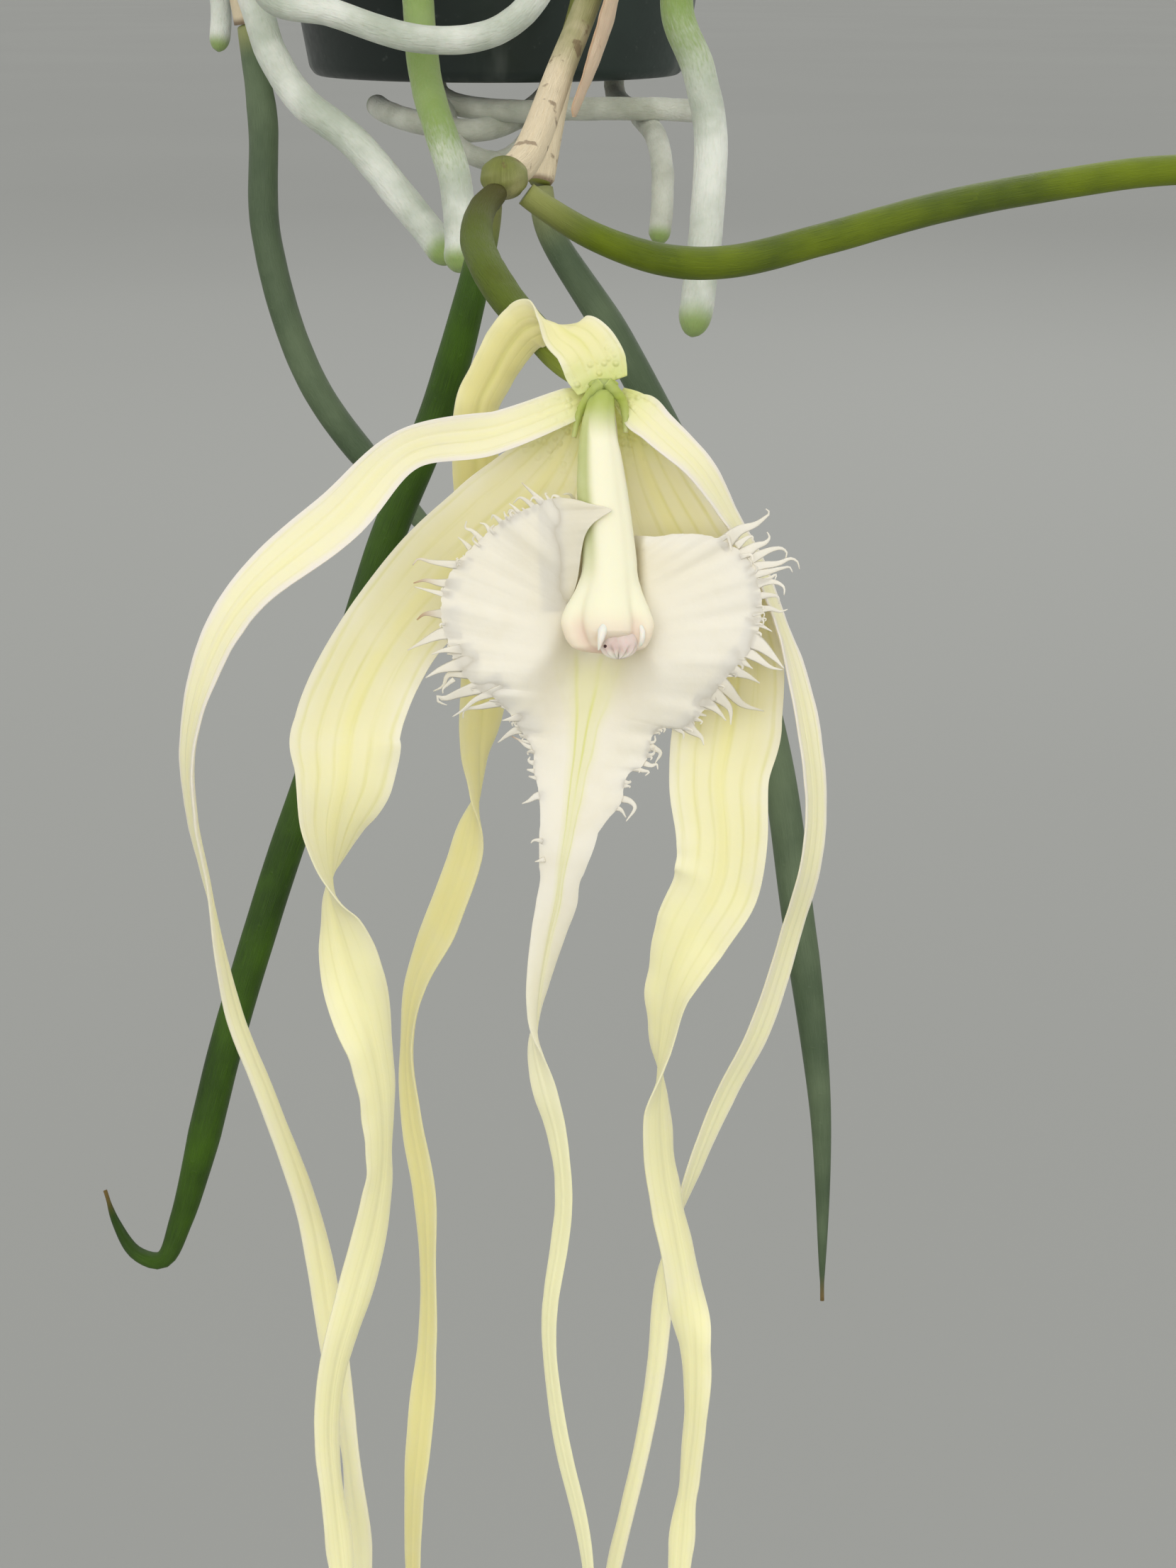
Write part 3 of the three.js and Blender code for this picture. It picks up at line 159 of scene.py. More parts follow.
# The hairs of the fringe: width at the root, how brown the tip is, then x, z from root to tip
FRINGE = [
    (0.59, 0, (-2.7, -9.5), (-2.2, -8.8), (-2.5, -8.4), (-3, -8.5)),
    (0.5, 0, (-3.3, -9.4), (-3.4, -8.7), (-3.8, -8.6), (-3.9, -8.9)),
    (0.55, 0.4, (-4.2, -9.5), (-4.8, -8.9), (-5.5, -8.2), (-6.2, -7.5)),
    (0.53, 0, (-5, -9.8), (-5.6, -9.1), (-6.4, -8.6), (-6.9, -9)),
    (0.44, 0, (-6.2, -10.1), (-6.8, -9.4), (-7.2, -9.1)),
    (0.38, 0, (-7.1, -10.6), (-7.5, -10), (-7.6, -9.7)),
    (0.53, 0, (-7.5, -10.9), (-8.1, -10.2), (-8.5, -9.9), (-8.6, -10.2)),
    (0.44, 0, (-8.6, -11.3), (-9.1, -10.6), (-9.5, -10.5)),
    (0.53, 0, (-9.3, -11.9), (-10.1, -11.1), (-10.6, -10.9), (-10.5, -10.4)),
    (0.44, 0, (-10.2, -12.5), (-10.8, -11.9), (-11.2, -11.6)),
    (0.88, 0.5, (-10.1, -13.8), (-11.8, -13.7), (-13.3, -13.5), (-14.3, -13.3), (-14.7, -13.8)),
    (1, 0.9, (-10.9, -15.3), (-12.7, -15.1), (-13.9, -14.9), (-14.7, -15.1)),
    (0.6, 0.2, (-11.5, -16.2), (-13.1, -15.8), (-14.2, -15.5), (-14.6, -15.4)),
    (1.4, 1, (-10.9, -17.6), (-12.7, -17.5), (-13.9, -17.5), (-14.5, -17.9)),
    (1.5, 0.3, (-10.9, -18.8), (-12.6, -19.1), (-14, -19.7), (-15.2, -20.3)),
    (1.2, 0.2, (-9.8, -20.3), (-11.2, -20.3), (-12.3, -20.4), (-13.2, -20.7)),
    (1.9, 0, (-9.5, -21.2), (-11.1, -21.5), (-12.6, -21.9), (-13.7, -22.5)),
    (1, 0, (-9.5, -22.2), (-10.8, -22.2), (-12, -22.3), (-12.4, -23.1), (-13.2, -23.5)),
    (0.35, 0, (-11.5, -22.6), (-12, -23), (-12.4, -23.4), (-12.4, -23.7)),
    (1.6, 0, (-7.7, -22.8), (-9.5, -23.2), (-11.1, -23.7), (-12.4, -24.1), (-12.8, -23.9), (-12.8, -24.3),
     (-12.1, -24.6)),
    (0.9, 0, (-7.1, -23.2), (-8.6, -23.7), (-9.9, -24.2), (-10.9, -25), (-11.7, -25.5)),
    (1, 0, (-6.5, -24), (-7.7, -24.3), (-9.3, -24.7), (-10.8, -25), (-10.9, -25.6)),
    (1.2, 0, (-5.6, -25.3), (-6.8, -25.6), (-7.8, -25.8)),
    (1.4, 0, (-4.8, -26), (-5.9, -26.3), (-7.1, -26.7), (-8.2, -27.5)),
    (0.38, 0.8, (-5.3, -28), (-6, -27.7), (-6.5, -27.3), (-7.1, -27)),
    (0.9, 0, (-4.4, -31.7), (-5.1, -31.7), (-5.8, -32.1), (-6.3, -32.3)),
    (0.5, 0, (-4.4, -35.4), (-4.9, -35.2), (-5.4, -35.2), (-5.6, -35.4)),
    (0.4, 0, (-4.5, -36.7), (-4.9, -36.8), (-5.3, -36.9)),
    (0.5, 0, (8.9, -12), (9.7, -11.6), (9.9, -12.1), (10, -12.7)),
    (1.3, 0, (9.2, -12.4), (10.6, -11.1), (11.9, -10.6), (12.6, -10.1), (13, -9.7), (12.7, -9.4)),
    (0.6, 0, (10.4, -12.3), (11.3, -11.6), (11.7, -11.5), (11.7, -11.9)),
    (1.1, 0, (10.7, -13.1), (11.9, -12.3), (12.7, -12), (13, -11.6), (12.8, -11.2)),
    (0.9, 0, (11, -13.6), (12.3, -12.9), (13.2, -12.5), (14, -12.4), (14.4, -12.7), (14.3, -13.2)),
    (0.9, 0, (11, -14.2), (12.3, -13.8), (13.7, -13.6), (14.7, -13.2), (15.2, -13.4), (15.4, -14)),
    (0.75, 0, (11.3, -14.6), (12.8, -14.3), (13.9, -14), (14.6, -13.9), (14.8, -14.3)),
    (0.6, 0, (11.6, -15.1), (12.8, -14.9), (13.5, -14.5), (13.4, -14.9)),
    (0.9, 0, (11.3, -15.6), (12.5, -15.1), (13.5, -15.1), (14.1, -15.5), (14.1, -16.1)),
    (0.9, 0, (11.3, -16.4), (12.6, -16.1), (13.7, -16.2), (13.8, -16.7)),
    (0.75, 0, (11.6, -17.3), (13.1, -17.1), (13.9, -17.3), (14.5, -17.1)),
    (0.75, 0, (11, -18.1), (12.2, -18.4), (13.2, -18.9)),
    (1.9, 0, (10.7, -19.3), (12, -19.8), (13.1, -20.7), (14.1, -21.8)),
    (1.1, 0, (10.7, -20.2), (11.9, -20.9), (13.1, -21.7), (14, -21.9)),
    (1.5, 0, (9.8, -20.4), (10.7, -21.1), (11.7, -21.8)),
    (1.5, 0, (9.2, -21.1), (10.4, -22), (11.4, -22.4), (12.3, -22.9)),
    (1.4, 0, (8.6, -22.4), (9.8, -23.4), (11, -24.5), (12.8, -25)),
    (1.5, 0, (7.9, -23.2), (9.1, -24), (10, -24.9), (10.1, -26.1)),
    (1.4, 0, (7.2, -24), (8.5, -24.6), (9.4, -25.4), (9.7, -25.8)),
    (1.6, 0, (6, -25.4), (7, -26.5), (7.8, -27.1), (8, -27.7)),
    (0.8, 0, (5.1, -25.8), (6, -26.5), (6.4, -26.8), (6.4, -27.2)),
    (0.67, 0, (3.5, -27.7), (4.2, -28), (4.6, -28.3), (4.2, -29.1)),
    (0.45, 0, (3.3, -29.1), (3.9, -29.3), (4.3, -29.2), (4.4, -29.6)),
    (0.45, 0, (2.5, -29.5), (3.2, -29.7), (3.7, -29.8), (3.4, -30.1)),
    (0.55, 0, (1.5, -31.9), (2.2, -32.1), (2.6, -32.6), (1.9, -33.7)),
    (0.45, 0, (1, -32.6), (1.5, -32.8), (1.9, -33.4)),
]

# Column: x, y, z of its axis, width, thickness
COLUMN = [
    (0, -0.4, -0.3, 1.9, 1.5), (-0.3, -0.8, -3.2, 2.7, 2.2), (-0.2, -1.1, -5.5, 3.4, 2.6),
    (0, -1.3, -8.1, 3.9, 2.8), (0.4, -1.5, -11.7, 4.1, 3), (0.56, -1.7, -14.4, 4.3, 3.1),
    (0.47, -1.8, -15.8, 5, 3.2), (0.36, -2, -17.2, 6.1, 3.4), (0.4, -2.2, -18.4, 6.7, 3.5),
    (0.47, -2.3, -19.5, 6.2, 3.2), (0.56, -2.4, -20.4, 4.6, 2.4),
]
ANTHER_AT = (1.2, -2.95, -19.9)
ANTHER_SIZE = (1.5, 0.8, 1.1)
TONGUE = [(0.2, -3.2, -17.7), (0.1, -3.8, -18.7), (-0.1, -4.1, -19.6), (-0.3, -4, -20.6)]
LOBE_RIDGE = [(2.85, -2.9, -18.4), (3.05, -3.3, -19.2), (3, -3.2, -19.8), (2.8, -2.8, -20.3)]
# The green rims that run down beside the column from the heart
FLANGES = [
    [(0, -0.9, 0.3), (-0.7, -0.7, -0.4), (-1.4, -0.2, -1.2), (-1.9, 0.2, -2.4), (-2.2, 0.3, -3.8)],
    [(0.3, -0.9, 0.3), (0.95, -0.7, -0.3), (1.6, -0.2, -1.1), (1.8, 0.2, -2.2), (1.85, 0.3, -3.4)],
]

PEDICEL = [
    (-8.6, 24, 22), (-10.2, 19.5, 18.8), (-10.5, 15, 15.1), (-9.3, 11, 11.5), (-7.3, 8, 8.1),
    (-5.1, 5.8, 5.3), (-2.9, 3.8, 2.6), (0, 1.8, 0.4),
]
KNOB_AT = (0.1, 2, 0)
KNOB_RADIUS = 1.25
NODE_AT = (4.3, -100.7, -182.2)
NODE_SIZE = (2.1, 1.9, 1.9)

# Stems
SUNK = -126
STEM_RADIUS = 1.2
SHEATH_JOINT = 26
FLOWER_JOINTS = 6
FLARE = 0.28
FLOWER_STEM = [
    (6, -8, SUNK), (7.5, -22, -103), (9, -37, -98), (11.5, -54, -103), (13.5, -69, -122),
    (14.5, -77, -146), (13.1, -81, -163), (8.9, -89.4, -174.3), (5.9, -98, -181), (4.3, -100.7, -182.2),
]
LEAF_OLIVE = [
    (5, -100.6, -182.6), (7.3, -100.4, -184.4), (12.4, -99.4, -187.5), (18.8, -97.1, -189.8),
    (24.8, -94.1, -190.3), (33.8, -89.3, -188.8), (45.6, -83.2, -186.5), (58, -77.3, -184.9),
    (70.9, -71.6, -184), (88, -64, -185.5), (106, -57, -190), (122, -51, -197),
]
LEAF_MAIN = [
    (3, -99.6, -183.2), (2.6, -98.4, -186.4), (0.8, -98.3, -193.7), (-2.1, -97.7, -203.1),
    (-7.4, -98.1, -215.8), (-13.9, -100.8, -235.1), (-18.9, -102.7, -249), (-24, -105.3, -264.8),
    (-29, -108.7, -282.6), (-31, -109.9, -286.6), (-33.6, -109.6, -286), (-35.6, -108.7, -283),
    (-36.7, -107.6, -280),
]

# Pot, bark and hanger
RIM_TOP = -110
POT_HEIGHT = 68
POT_BASE = RIM_TOP - POT_HEIGHT
POT_BASE_RADIUS = 24
POT_TOP_RADIUS = 35
POT_WALL = 1.4
POT_FLOOR = 1.8
RIM_RADIUS = 37
RIM_DEPTH = 6
RIM_LIP = 1.6
DRAIN_COUNT = 6
DRAIN_RADIUS = 3
DRAIN_CIRCLE = 15
GAP = 0.3
BARK_TOP = RIM_TOP - 9
BARK_CROWN = 3
WIRE = 0.9
HOOK_WIRE = 1.05
WIRE_COUNT = 3
NECK_Z = -24
HOOK_RADIUS = 9


def linear(code: str) -> Colour:
    """A colour's linear values from its hexadecimal screen code.

    Args:
        code: Six hexadecimal digits.

    Returns:
        Red, green and blue from 0 to 1, linear.
    """
    parts = np.array([int(code[i : i + 2], 16) for i in (0, 2, 4)]) / 255
    values = np.where(parts <= 0.04045, parts / 12.92, ((parts + 0.055) / 1.055) ** 2.4)
    return tuple(float(v) for v in values)


def smooth(low: float, high: float, value: np.ndarray) -> np.ndarray:
    """A smooth step from 0 at low to 1 at high: 3 t^2 - 2 t^3 with t the clamped share between them."""
    t = np.clip((value - low) / (high - low), 0, 1)
    return t * t * (3 - 2 * t)


def unit(vectors: np.ndarray) -> np.ndarray:
    """The vectors at length 1, along their last axis."""
    return vectors / np.linalg.norm(vectors, axis=-1, keepdims=True)


def facing(points: np.ndarray) -> np.ndarray:
    """The unit directions square to a surface at its points, rows by columns by 3."""
    return unit(np.cross(np.gradient(points, axis=1), np.gradient(points, axis=0)))


def around(sides: int) -> np.ndarray:
    """The angles of equal steps round a full turn."""
    return np.linspace(0, 2 * np.pi, sides, endpoint=False)


def bunched(columns: int) -> np.ndarray:
    """Places from -1 to 1 that lie closer together at both ends, the sines of equal steps."""
    return np.sin(np.linspace(-np.pi / 2, np.pi / 2, columns))


def flowing(across: np.ndarray, along: np.ndarray) -> np.ndarray:
    """The flow of a skin's corners, from the places across and the shares along, which broadcast."""
    return np.stack(np.broadcast_arrays(across, along), axis=-1)


def ring_flow(sides: int, along: np.ndarray) -> np.ndarray:
    """The flow of a skin of rings: equal shares round each, and a share along for each row."""
    return flowing(np.linspace(0, 1, sides + 1)[None, :], along)


def turned(radius: np.ndarray, angle: np.ndarray, height: np.ndarray) -> np.ndarray:
    """Points at a radius, angle and height round the z axis, which broadcast."""
    return np.stack([radius * np.cos(angle), radius * np.sin(angle), height + 0 * angle], axis=-1)


def unit_ball(latitude: np.ndarray, angle: np.ndarray) -> np.ndarray:
    """Points of the ball of radius 1, rows of latitude from its top by columns of angle."""
    return turned(np.sin(latitude), angle, np.cos(latitude))


def bell(value: np.ndarray, width: float) -> np.ndarray:
    """A soft bump: 1 at 0, falling as exp(-(value / width)^2)."""
    return np.exp(-((value / width) ** 2))


def blunted(past: np.ndarray, length: float, least: float) -> np.ndarray:
    """A factor that rounds off an end as sqrt(1 - t^2), with t the share past its start.

    Args:
        past: How far past the rounding's start.
        length: The rounding's length.
        least: The least value under the root, so that the end stays open.

    Returns:
        The factor, 1 before the start.
    """
    return np.sqrt(np.clip(1 - np.clip(past / length, 0, 1) ** 2, least, 1))


def to_row(points: np.ndarray | Rows | Sequence[float]) -> np.ndarray:
    """Places points of the flower's own frame: turned by the view's tilt about x, then set at the heart.

    Args:
        points: Flower points in millimetres, three values on the last axis.

    Returns:
        The points in the frame of the whole part, in millimetres.
    """
    c, s = math.cos(VIEW_TILT), math.sin(VIEW_TILT)
    x, y, z = np.moveaxis(np.asarray(points, float), -1, 0)
    return np.stack([x, y * c + z * s, z * c - y * s], axis=-1) + HEART


def to_flower(point: Sequence[float]) -> np.ndarray:
    """The inverse of to_row for one point."""
    c, s = math.cos(VIEW_TILT), math.sin(VIEW_TILT)
    x, y, z = np.asarray(point, float) - HEART
    return np.array([x, y * c - z * s, y * s + z * c])


@dataclass(frozen=True)
class Wobble:
    """Smooth, seeded unevenness: a sum of sine waves over two parameters, each with its own phase."""

    seed: int
    waves: int = 6
    along: float = 6.0
    across: float = 2.0

    def at(self, s: np.ndarray, u: np.ndarray) -> np.ndarray:
        """The unevenness at parameters s and u, which broadcast, about -1 to 1."""
        draw = np.random.default_rng(self.seed)
        total = np.zeros(np.broadcast(s, u).shape)
        for k in range(self.waves):
            rate_s = self.along * draw.uniform(0.5, 1.6) * (1 + 0.5 * k)
            rate_u = round(self.across * draw.uniform(0, 1.5))
            total = total + np.sin(2 * np.pi * (rate_s * s + draw.random()) + rate_u * u) / (1 + 0.5 * k)
        return total / (0.5 * self.waves)


@dataclass(frozen=True)
class Path:
    """A smooth line through given rows, a centripetal Catmull-Rom curve in any number of axes."""

    rows: np.ndarray

    @classmethod
    def through(cls, rows: Rows) -> Path:
        """A path through the rows of a table."""
        return cls(np.asarray(rows, float))

    def at(self, t: np.ndarray) -> np.ndarray:
        """Points at t from 0 to 1, where equal shares of t go to each stretch between two rows.

        Each stretch is the cubic whose end slopes are the non-uniform ones for knots spaced by the
        square root of the distance between rows.
        """
        count = len(self.rows)
        place = np.clip(t, 0, 1) * (count - 1)
        stretch = np.minimum(place.astype(int), count - 2)
        w = (place - stretch)[..., None]
        ends = (2 * self.rows[0] - self.rows[1], 2 * self.rows[-1] - self.rows[-2])
        padded = np.vstack([ends[0], self.rows, ends[1]])
        p0, p1, p2, p3 = (padded[stretch + k] for k in range(4))
        d0, d1, d2 = (
            np.maximum(np.linalg.norm(b - a, axis=-1, keepdims=True), 1e-6) ** 0.5
            for a, b in ((p0, p1), (p1, p2), (p2, p3))
        )
        m1 = ((p1 - p0) / d0 - (p2 - p0) / (d0 + d1) + (p2 - p1) / d1) * d1
        m2 = ((p2 - p1) / d1 - (p3 - p1) / (d1 + d2) + (p3 - p2) / d2) * d1
        cubic = 2 * p1 - 2 * p2 + m1 + m2
        square = 3 * p2 - 3 * p1 - 2 * m1 - m2
        return p1 + m1 * w + square * w**2 + cubic * w**3

    def tangent(self, t: np.ndarray) -> np.ndarray:
        """Unit directions at t, from the points a ten-thousandth before and after."""
        step = 1e-4
        return unit(self.at(np.clip(t + step, 0, 1)) - self.at(np.clip(t - step, 0, 1)))

    def chords(self) -> tuple[np.ndarray, np.ndarray]:
        """401 even places in t, and the lengths of the 400 chords between their points."""
        t = np.linspace(0, 1, 401)
        return t, np.linalg.norm(np.diff(self.at(t), axis=0), axis=-1)

    def by_length(self, shares: np.ndarray) -> np.ndarray:
        """The t of each share of the path's length, read off the sums of the chords."""
        t, chords = self.chords()
        sums = np.concatenate([[0], np.cumsum(chords)])
        return np.interp(np.clip(shares, 0, 1) * sums[-1], sums, t)

    def length(self) -> float:
        """The path's length."""
        return float(self.chords()[1].sum())


@dataclass
class Patch:
    """Closed skins as arrays: points in metres, quads, the flow of each quad corner, and end caps.

    The flow is the piece's UV map: across the surface, then along it.
    """

    points: np.ndarray
    quads: np.ndarray
    flow: np.ndarray
    caps: list[np.ndarray]

    def volume(self) -> float:
        """Six times the signed volume inside the quads and caps, as sums of corner products."""
        a, b, c, d = (self.points[self.quads[:, k]] for k in range(4))
        total = np.einsum("ij,ij->", a, np.cross(b, c)) + np.einsum("ij,ij->", a, np.cross(c, d))
        for cap in self.caps:
            ring = self.points[cap]
            total += np.einsum("ij,ij->", np.broadcast_to(ring[0], ring[1:-1].shape),
                               np.cross(ring[1:-1], ring[2:]))
        return float(total)

    def outward(self) -> Patch:
        """The same skin with its faces pointing out."""
        if self.volume() >= 0:
            return self
        return Patch(self.points, self.quads[:, ::-1], self.flow[:, ::-1], [cap[::-1] for cap in self.caps])


def grid(points: np.ndarray, flow: np.ndarray) -> Patch:
    """A skin over rows of rings, each ring closed on itself, with a face over the first and the last.

    Args:
        points: Rows by columns by 3, in millimetres of the whole part.
        flow: Rows by columns plus 1 by 2, the last column for the ring's closing edge.

    Returns:
        The closed patch in metres, facing out.
    """
    rows, columns = points.shape[:2]
    r, c = np.meshgrid(np.arange(rows - 1), np.arange(columns), indexing="ij")
    after = (c + 1) % columns
    corners = ((r, c), (r, after), (r + 1, after), (r + 1, c))
    quads = np.stack([a * columns + b for a, b in corners], axis=-1).reshape(-1, 4)
    flows = np.stack([flow[r, c], flow[r, c + 1], flow[r + 1, c + 1], flow[r + 1, c]], axis=2)
    ring = np.arange(columns)
    caps = [ring[::-1], ring + (rows - 1) * columns]
    return Patch(points.reshape(-1, 3) * MM, quads, flows.reshape(-1, 4, 2), caps).outward()


def merged(patches: Sequence[Patch]) -> Patch:
    """Several patches as one, side by side in the same mesh."""
    starts = np.cumsum([0] + [len(p.points) for p in patches[:-1]])
    return Patch(
        np.vstack([p.points for p in patches]),
        np.vstack([p.quads + start for p, start in zip(patches, starts)]),
        np.vstack([p.flow for p in patches]),
        [cap + start for p, start in zip(patches, starts) for cap in p.caps],
    )


def make_piece(name: str, patch: Patch, material: bpy.types.Material) -> bpy.types.Object:
    """Puts a patch into a smooth mesh object at the origin, with its flow as the UV map.

    Args:
        name: The object's name.
        patch: The skin.
        material: What it is dressed in.

    Returns:
        The new object, linked into the scene.
    """
    mesh = bpy.data.meshes.new(name)
    faces = patch.quads.tolist() + [cap.tolist() for cap in patch.caps]
    mesh.from_pydata(patch.points, [], faces)
    layer = mesh.uv_layers.new(name="flow")
    ends = [np.full((len(cap), 2), (0.5, 0.0 if i % 2 == 0 else 1.0)) for i, cap in enumerate(patch.caps)]
    layer.data.foreach_set("uv", np.concatenate([patch.flow.reshape(-1, 2), *ends]).ravel())
    mesh.polygons.foreach_set("use_smooth", np.ones(len(mesh.polygons), bool))
    mesh.materials.append(material)
    mesh.update()
    piece = bpy.data.objects.new(name, mesh)
    bpy.context.scene.collection.objects.link(piece)
    return piece


def dress(piece: bpy.types.Object, node: str, slot: str) -> None:
    """Lets a piece stand for a node of the frame and ride on the body."""
    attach(piece, BODY)
    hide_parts(node)
    LOG.info("%s: %d faces for %s", piece.name, len(piece.data.polygons), node)


def add(name: str, patch: Patch, material: bpy.types.Material, node: str, slot: str) -> None:
    """Makes a piece of a patch and dresses it.

    Args:
        name: The piece's name.
        patch: Its skin.
        material: What it is dressed in.
        node: The node of the frame that it stands for.
        slot: Not used.
    """
    dress(make_piece(name, patch, material), node, slot)


def transported(along: np.ndarray) -> tuple[np.ndarray, np.ndarray]:
    """Two cross directions carried along a line without twist, one pair for each row.

    Args:
        along: The line's unit directions, a row each.

    Returns:
        The up and side directions of each row, square to the line.
    """
    side = np.array([1, 0.2, 0.1])
    sides = np.empty_like(along)
    for row, direction in enumerate(along):
        side = unit(side - direction * side.dot(direction))
        sides[row] = side
    return unit(np.cross(sides, along)), sides


@dataclass(frozen=True)
class Stalk:
    """A round stalk along a route, with any relief on its skin.

    The skin is centre(s) + r(s) relief(s, a) (up cos a + side sin a), with s the share of the length.
    """

    route: Rows
    sides: int = 24
    rows: int = 120
    start: float = 0.0
    by_length: bool = True

    def patch(self, radius: Callable[[np.ndarray], np.ndarray], relief: Relief | None = None) -> Patch:
        """The skin.

        Args:
            radius: The radius in millimetres at each share of the length.
            relief: A factor on the radius at each share and angle, or none.

        Returns:
            The closed patch.
        """
        path = Path.through(self.route)
        s = np.linspace(0, 1, self.rows)
        shares = self.start + (1 - self.start) * s
        t = path.by_length(shares) if self.by_length else shares
        up, side = transported(path.tangent(t))
        angle = around(self.sides)
        reach = radius(s)[:, None] * np.ones((1, self.sides))
        if relief is not None:
            reach = reach * relief(s[:, None], angle[None, :])
        ring = up[:, None] * np.cos(angle)[None, :, None] + side[:, None] * np.sin(angle)[None, :, None]
        return grid(path.at(t)[:, None] + reach[..., None] * ring, ring_flow(self.sides, s[:, None]))


@dataclass(frozen=True)
class Ribbon:
    """A thin, cupped and twisted blade along a table of stations.

    At share s the midline gives the direction along. flat = along x toward the viewer's side, and
    front = flat x along. The blade's side is flat cos turn + front sin turn, and its face = side x along.
    A point at u from -1 to 1 lies at mid + side u w/2 + face (cup w (u^2 - 0.4) + ripple + keel).
    """

    stations: Rows
    cup: float = 0.08
    thickness: float = 0.42
    edge: float = 0.14
    keel: float = 0.12
    keel_width: float = 0.13
    ripple: float = 0.1
    ripples: float = 7.0
    seed: int = 1
    rows: int = 300
    columns: int = 24
    point: float = 0.02

    def frames(self, s: np.ndarray) -> tuple[np.ndarray, ...]:
        """The midline's points, the side and face directions and the width at shares s."""
        rows = np.asarray(self.stations, float)
        middle, shape = Path(rows[:, :3]), Path(rows[:, 3:5])
        along = middle.tangent(s)
        flat = unit(np.cross(along, [0, -1, 0]))
        front = unit(np.cross(flat, along))
        width, turn = shape.at(s).T
        turn = np.radians(turn)[:, None]
        side = flat * np.cos(turn) + front * np.sin(turn)
        return middle.at(s), side, unit(np.cross(side, along)), width

    def surface(self, s: np.ndarray, u: np.ndarray) -> tuple[np.ndarray, np.ndarray]:
        """The blade's middle surface and face directions, rows of s by columns of u."""
        middle, side, face, width = self.frames(s)
        w, u = (width * blunted(s - 1 + self.point, self.point, 0.02))[:, None], u[None, :]
        right, left = (
            Wobble(seed, along=self.ripples, across=0).at(s[:, None], 0 * u)
            for seed in (self.seed, self.seed + 50)
        )
        wave = right * np.maximum(u, 0) ** 2 + left * np.minimum(u, 0) ** 2
        groove = self.keel * bell(u, self.keel_width) * np.minimum(1, w / 3)
        lift = self.cup * w * (u**2 - 0.4) + self.ripple * wave * np.minimum(1, w / 4) + groove
        out = side[:, None] * (u * w / 2)[..., None]
        return middle[:, None] + out + face[:, None] * lift[..., None], face

    def patch(self) -> Patch:
        """The closed skin over both faces, in millimetres of the flower's frame, placed."""
        s = np.linspace(0, 1, self.rows)
        u = bunched(self.columns)
        points, face = self.surface(s, u)
        return closed_blade(points, face[:, None], s, u, self.thickness, self.edge)


def even(radius: float) -> Callable[[np.ndarray], np.ndarray]:
    """The same radius all along a stalk."""
    return lambda s: np.full_like(s, radius)


def closed_blade(points: np.ndarray, face: np.ndarray, s: np.ndarray, u: np.ndarray,
                 thickness: float, edge: float) -> Patch:
    """Gives a flower surface its thickness: half of it to each face, thinning to the edge as 1 - u^4.

    Args:
        points: The middle surface in the flower's frame, rows by columns by 3.
        face: The direction of the thickness, which broadcasts with the points.
        s: The share along of each row.
        u: The place across of each column, -1 to 1.
        thickness: At the midline, in millimetres.
        edge: At the margin, in millimetres.

    Returns:
        The closed patch, placed in the whole part.
    """
    half = (edge + (thickness - edge) * (1 - u**4))[None, :, None] / 2
    ring = np.concatenate([points + face * half, (points - face * half)[:, ::-1]], axis=1)
    across = np.concatenate([u, u[::-1], u[:1]]) / 2 + 0.5
    return grid(to_row(ring), flowing(across[None, :], s[:, None]))


# Materials

class Field:
    """One value running through a material's nodes, with the arithmetic that it needs."""

    def __init__(self, paint: Paint, socket: bpy.types.NodeSocket) -> None:
        """Wraps the socket of a node in the given paint."""
        self.paint = paint
        self.socket = socket

    def __add__(self, other: Field | float) -> Field:
        """This value plus another."""
        return self.paint.maths("ADD", self, other)

    __radd__ = __add__

    def __sub__(self, other: Field | float) -> Field:
        """This value less another."""
        return self.paint.maths("SUBTRACT", self, other)

    def __rsub__(self, other: float) -> Field:
        """A number less this value."""
        return self.paint.maths("SUBTRACT", other, self)

    def __mul__(self, other: Field | float) -> Field:
        """This value times another."""
        return self.paint.maths("MULTIPLY", self, other)

    __rmul__ = __mul__

    def __abs__(self) -> Field:
        """This value without its sign."""
        return self.paint.maths("ABSOLUTE", self)

    def __pow__(self, other: float) -> Field:
        """This value to a power."""
        return self.paint.maths("POWER", self, other)


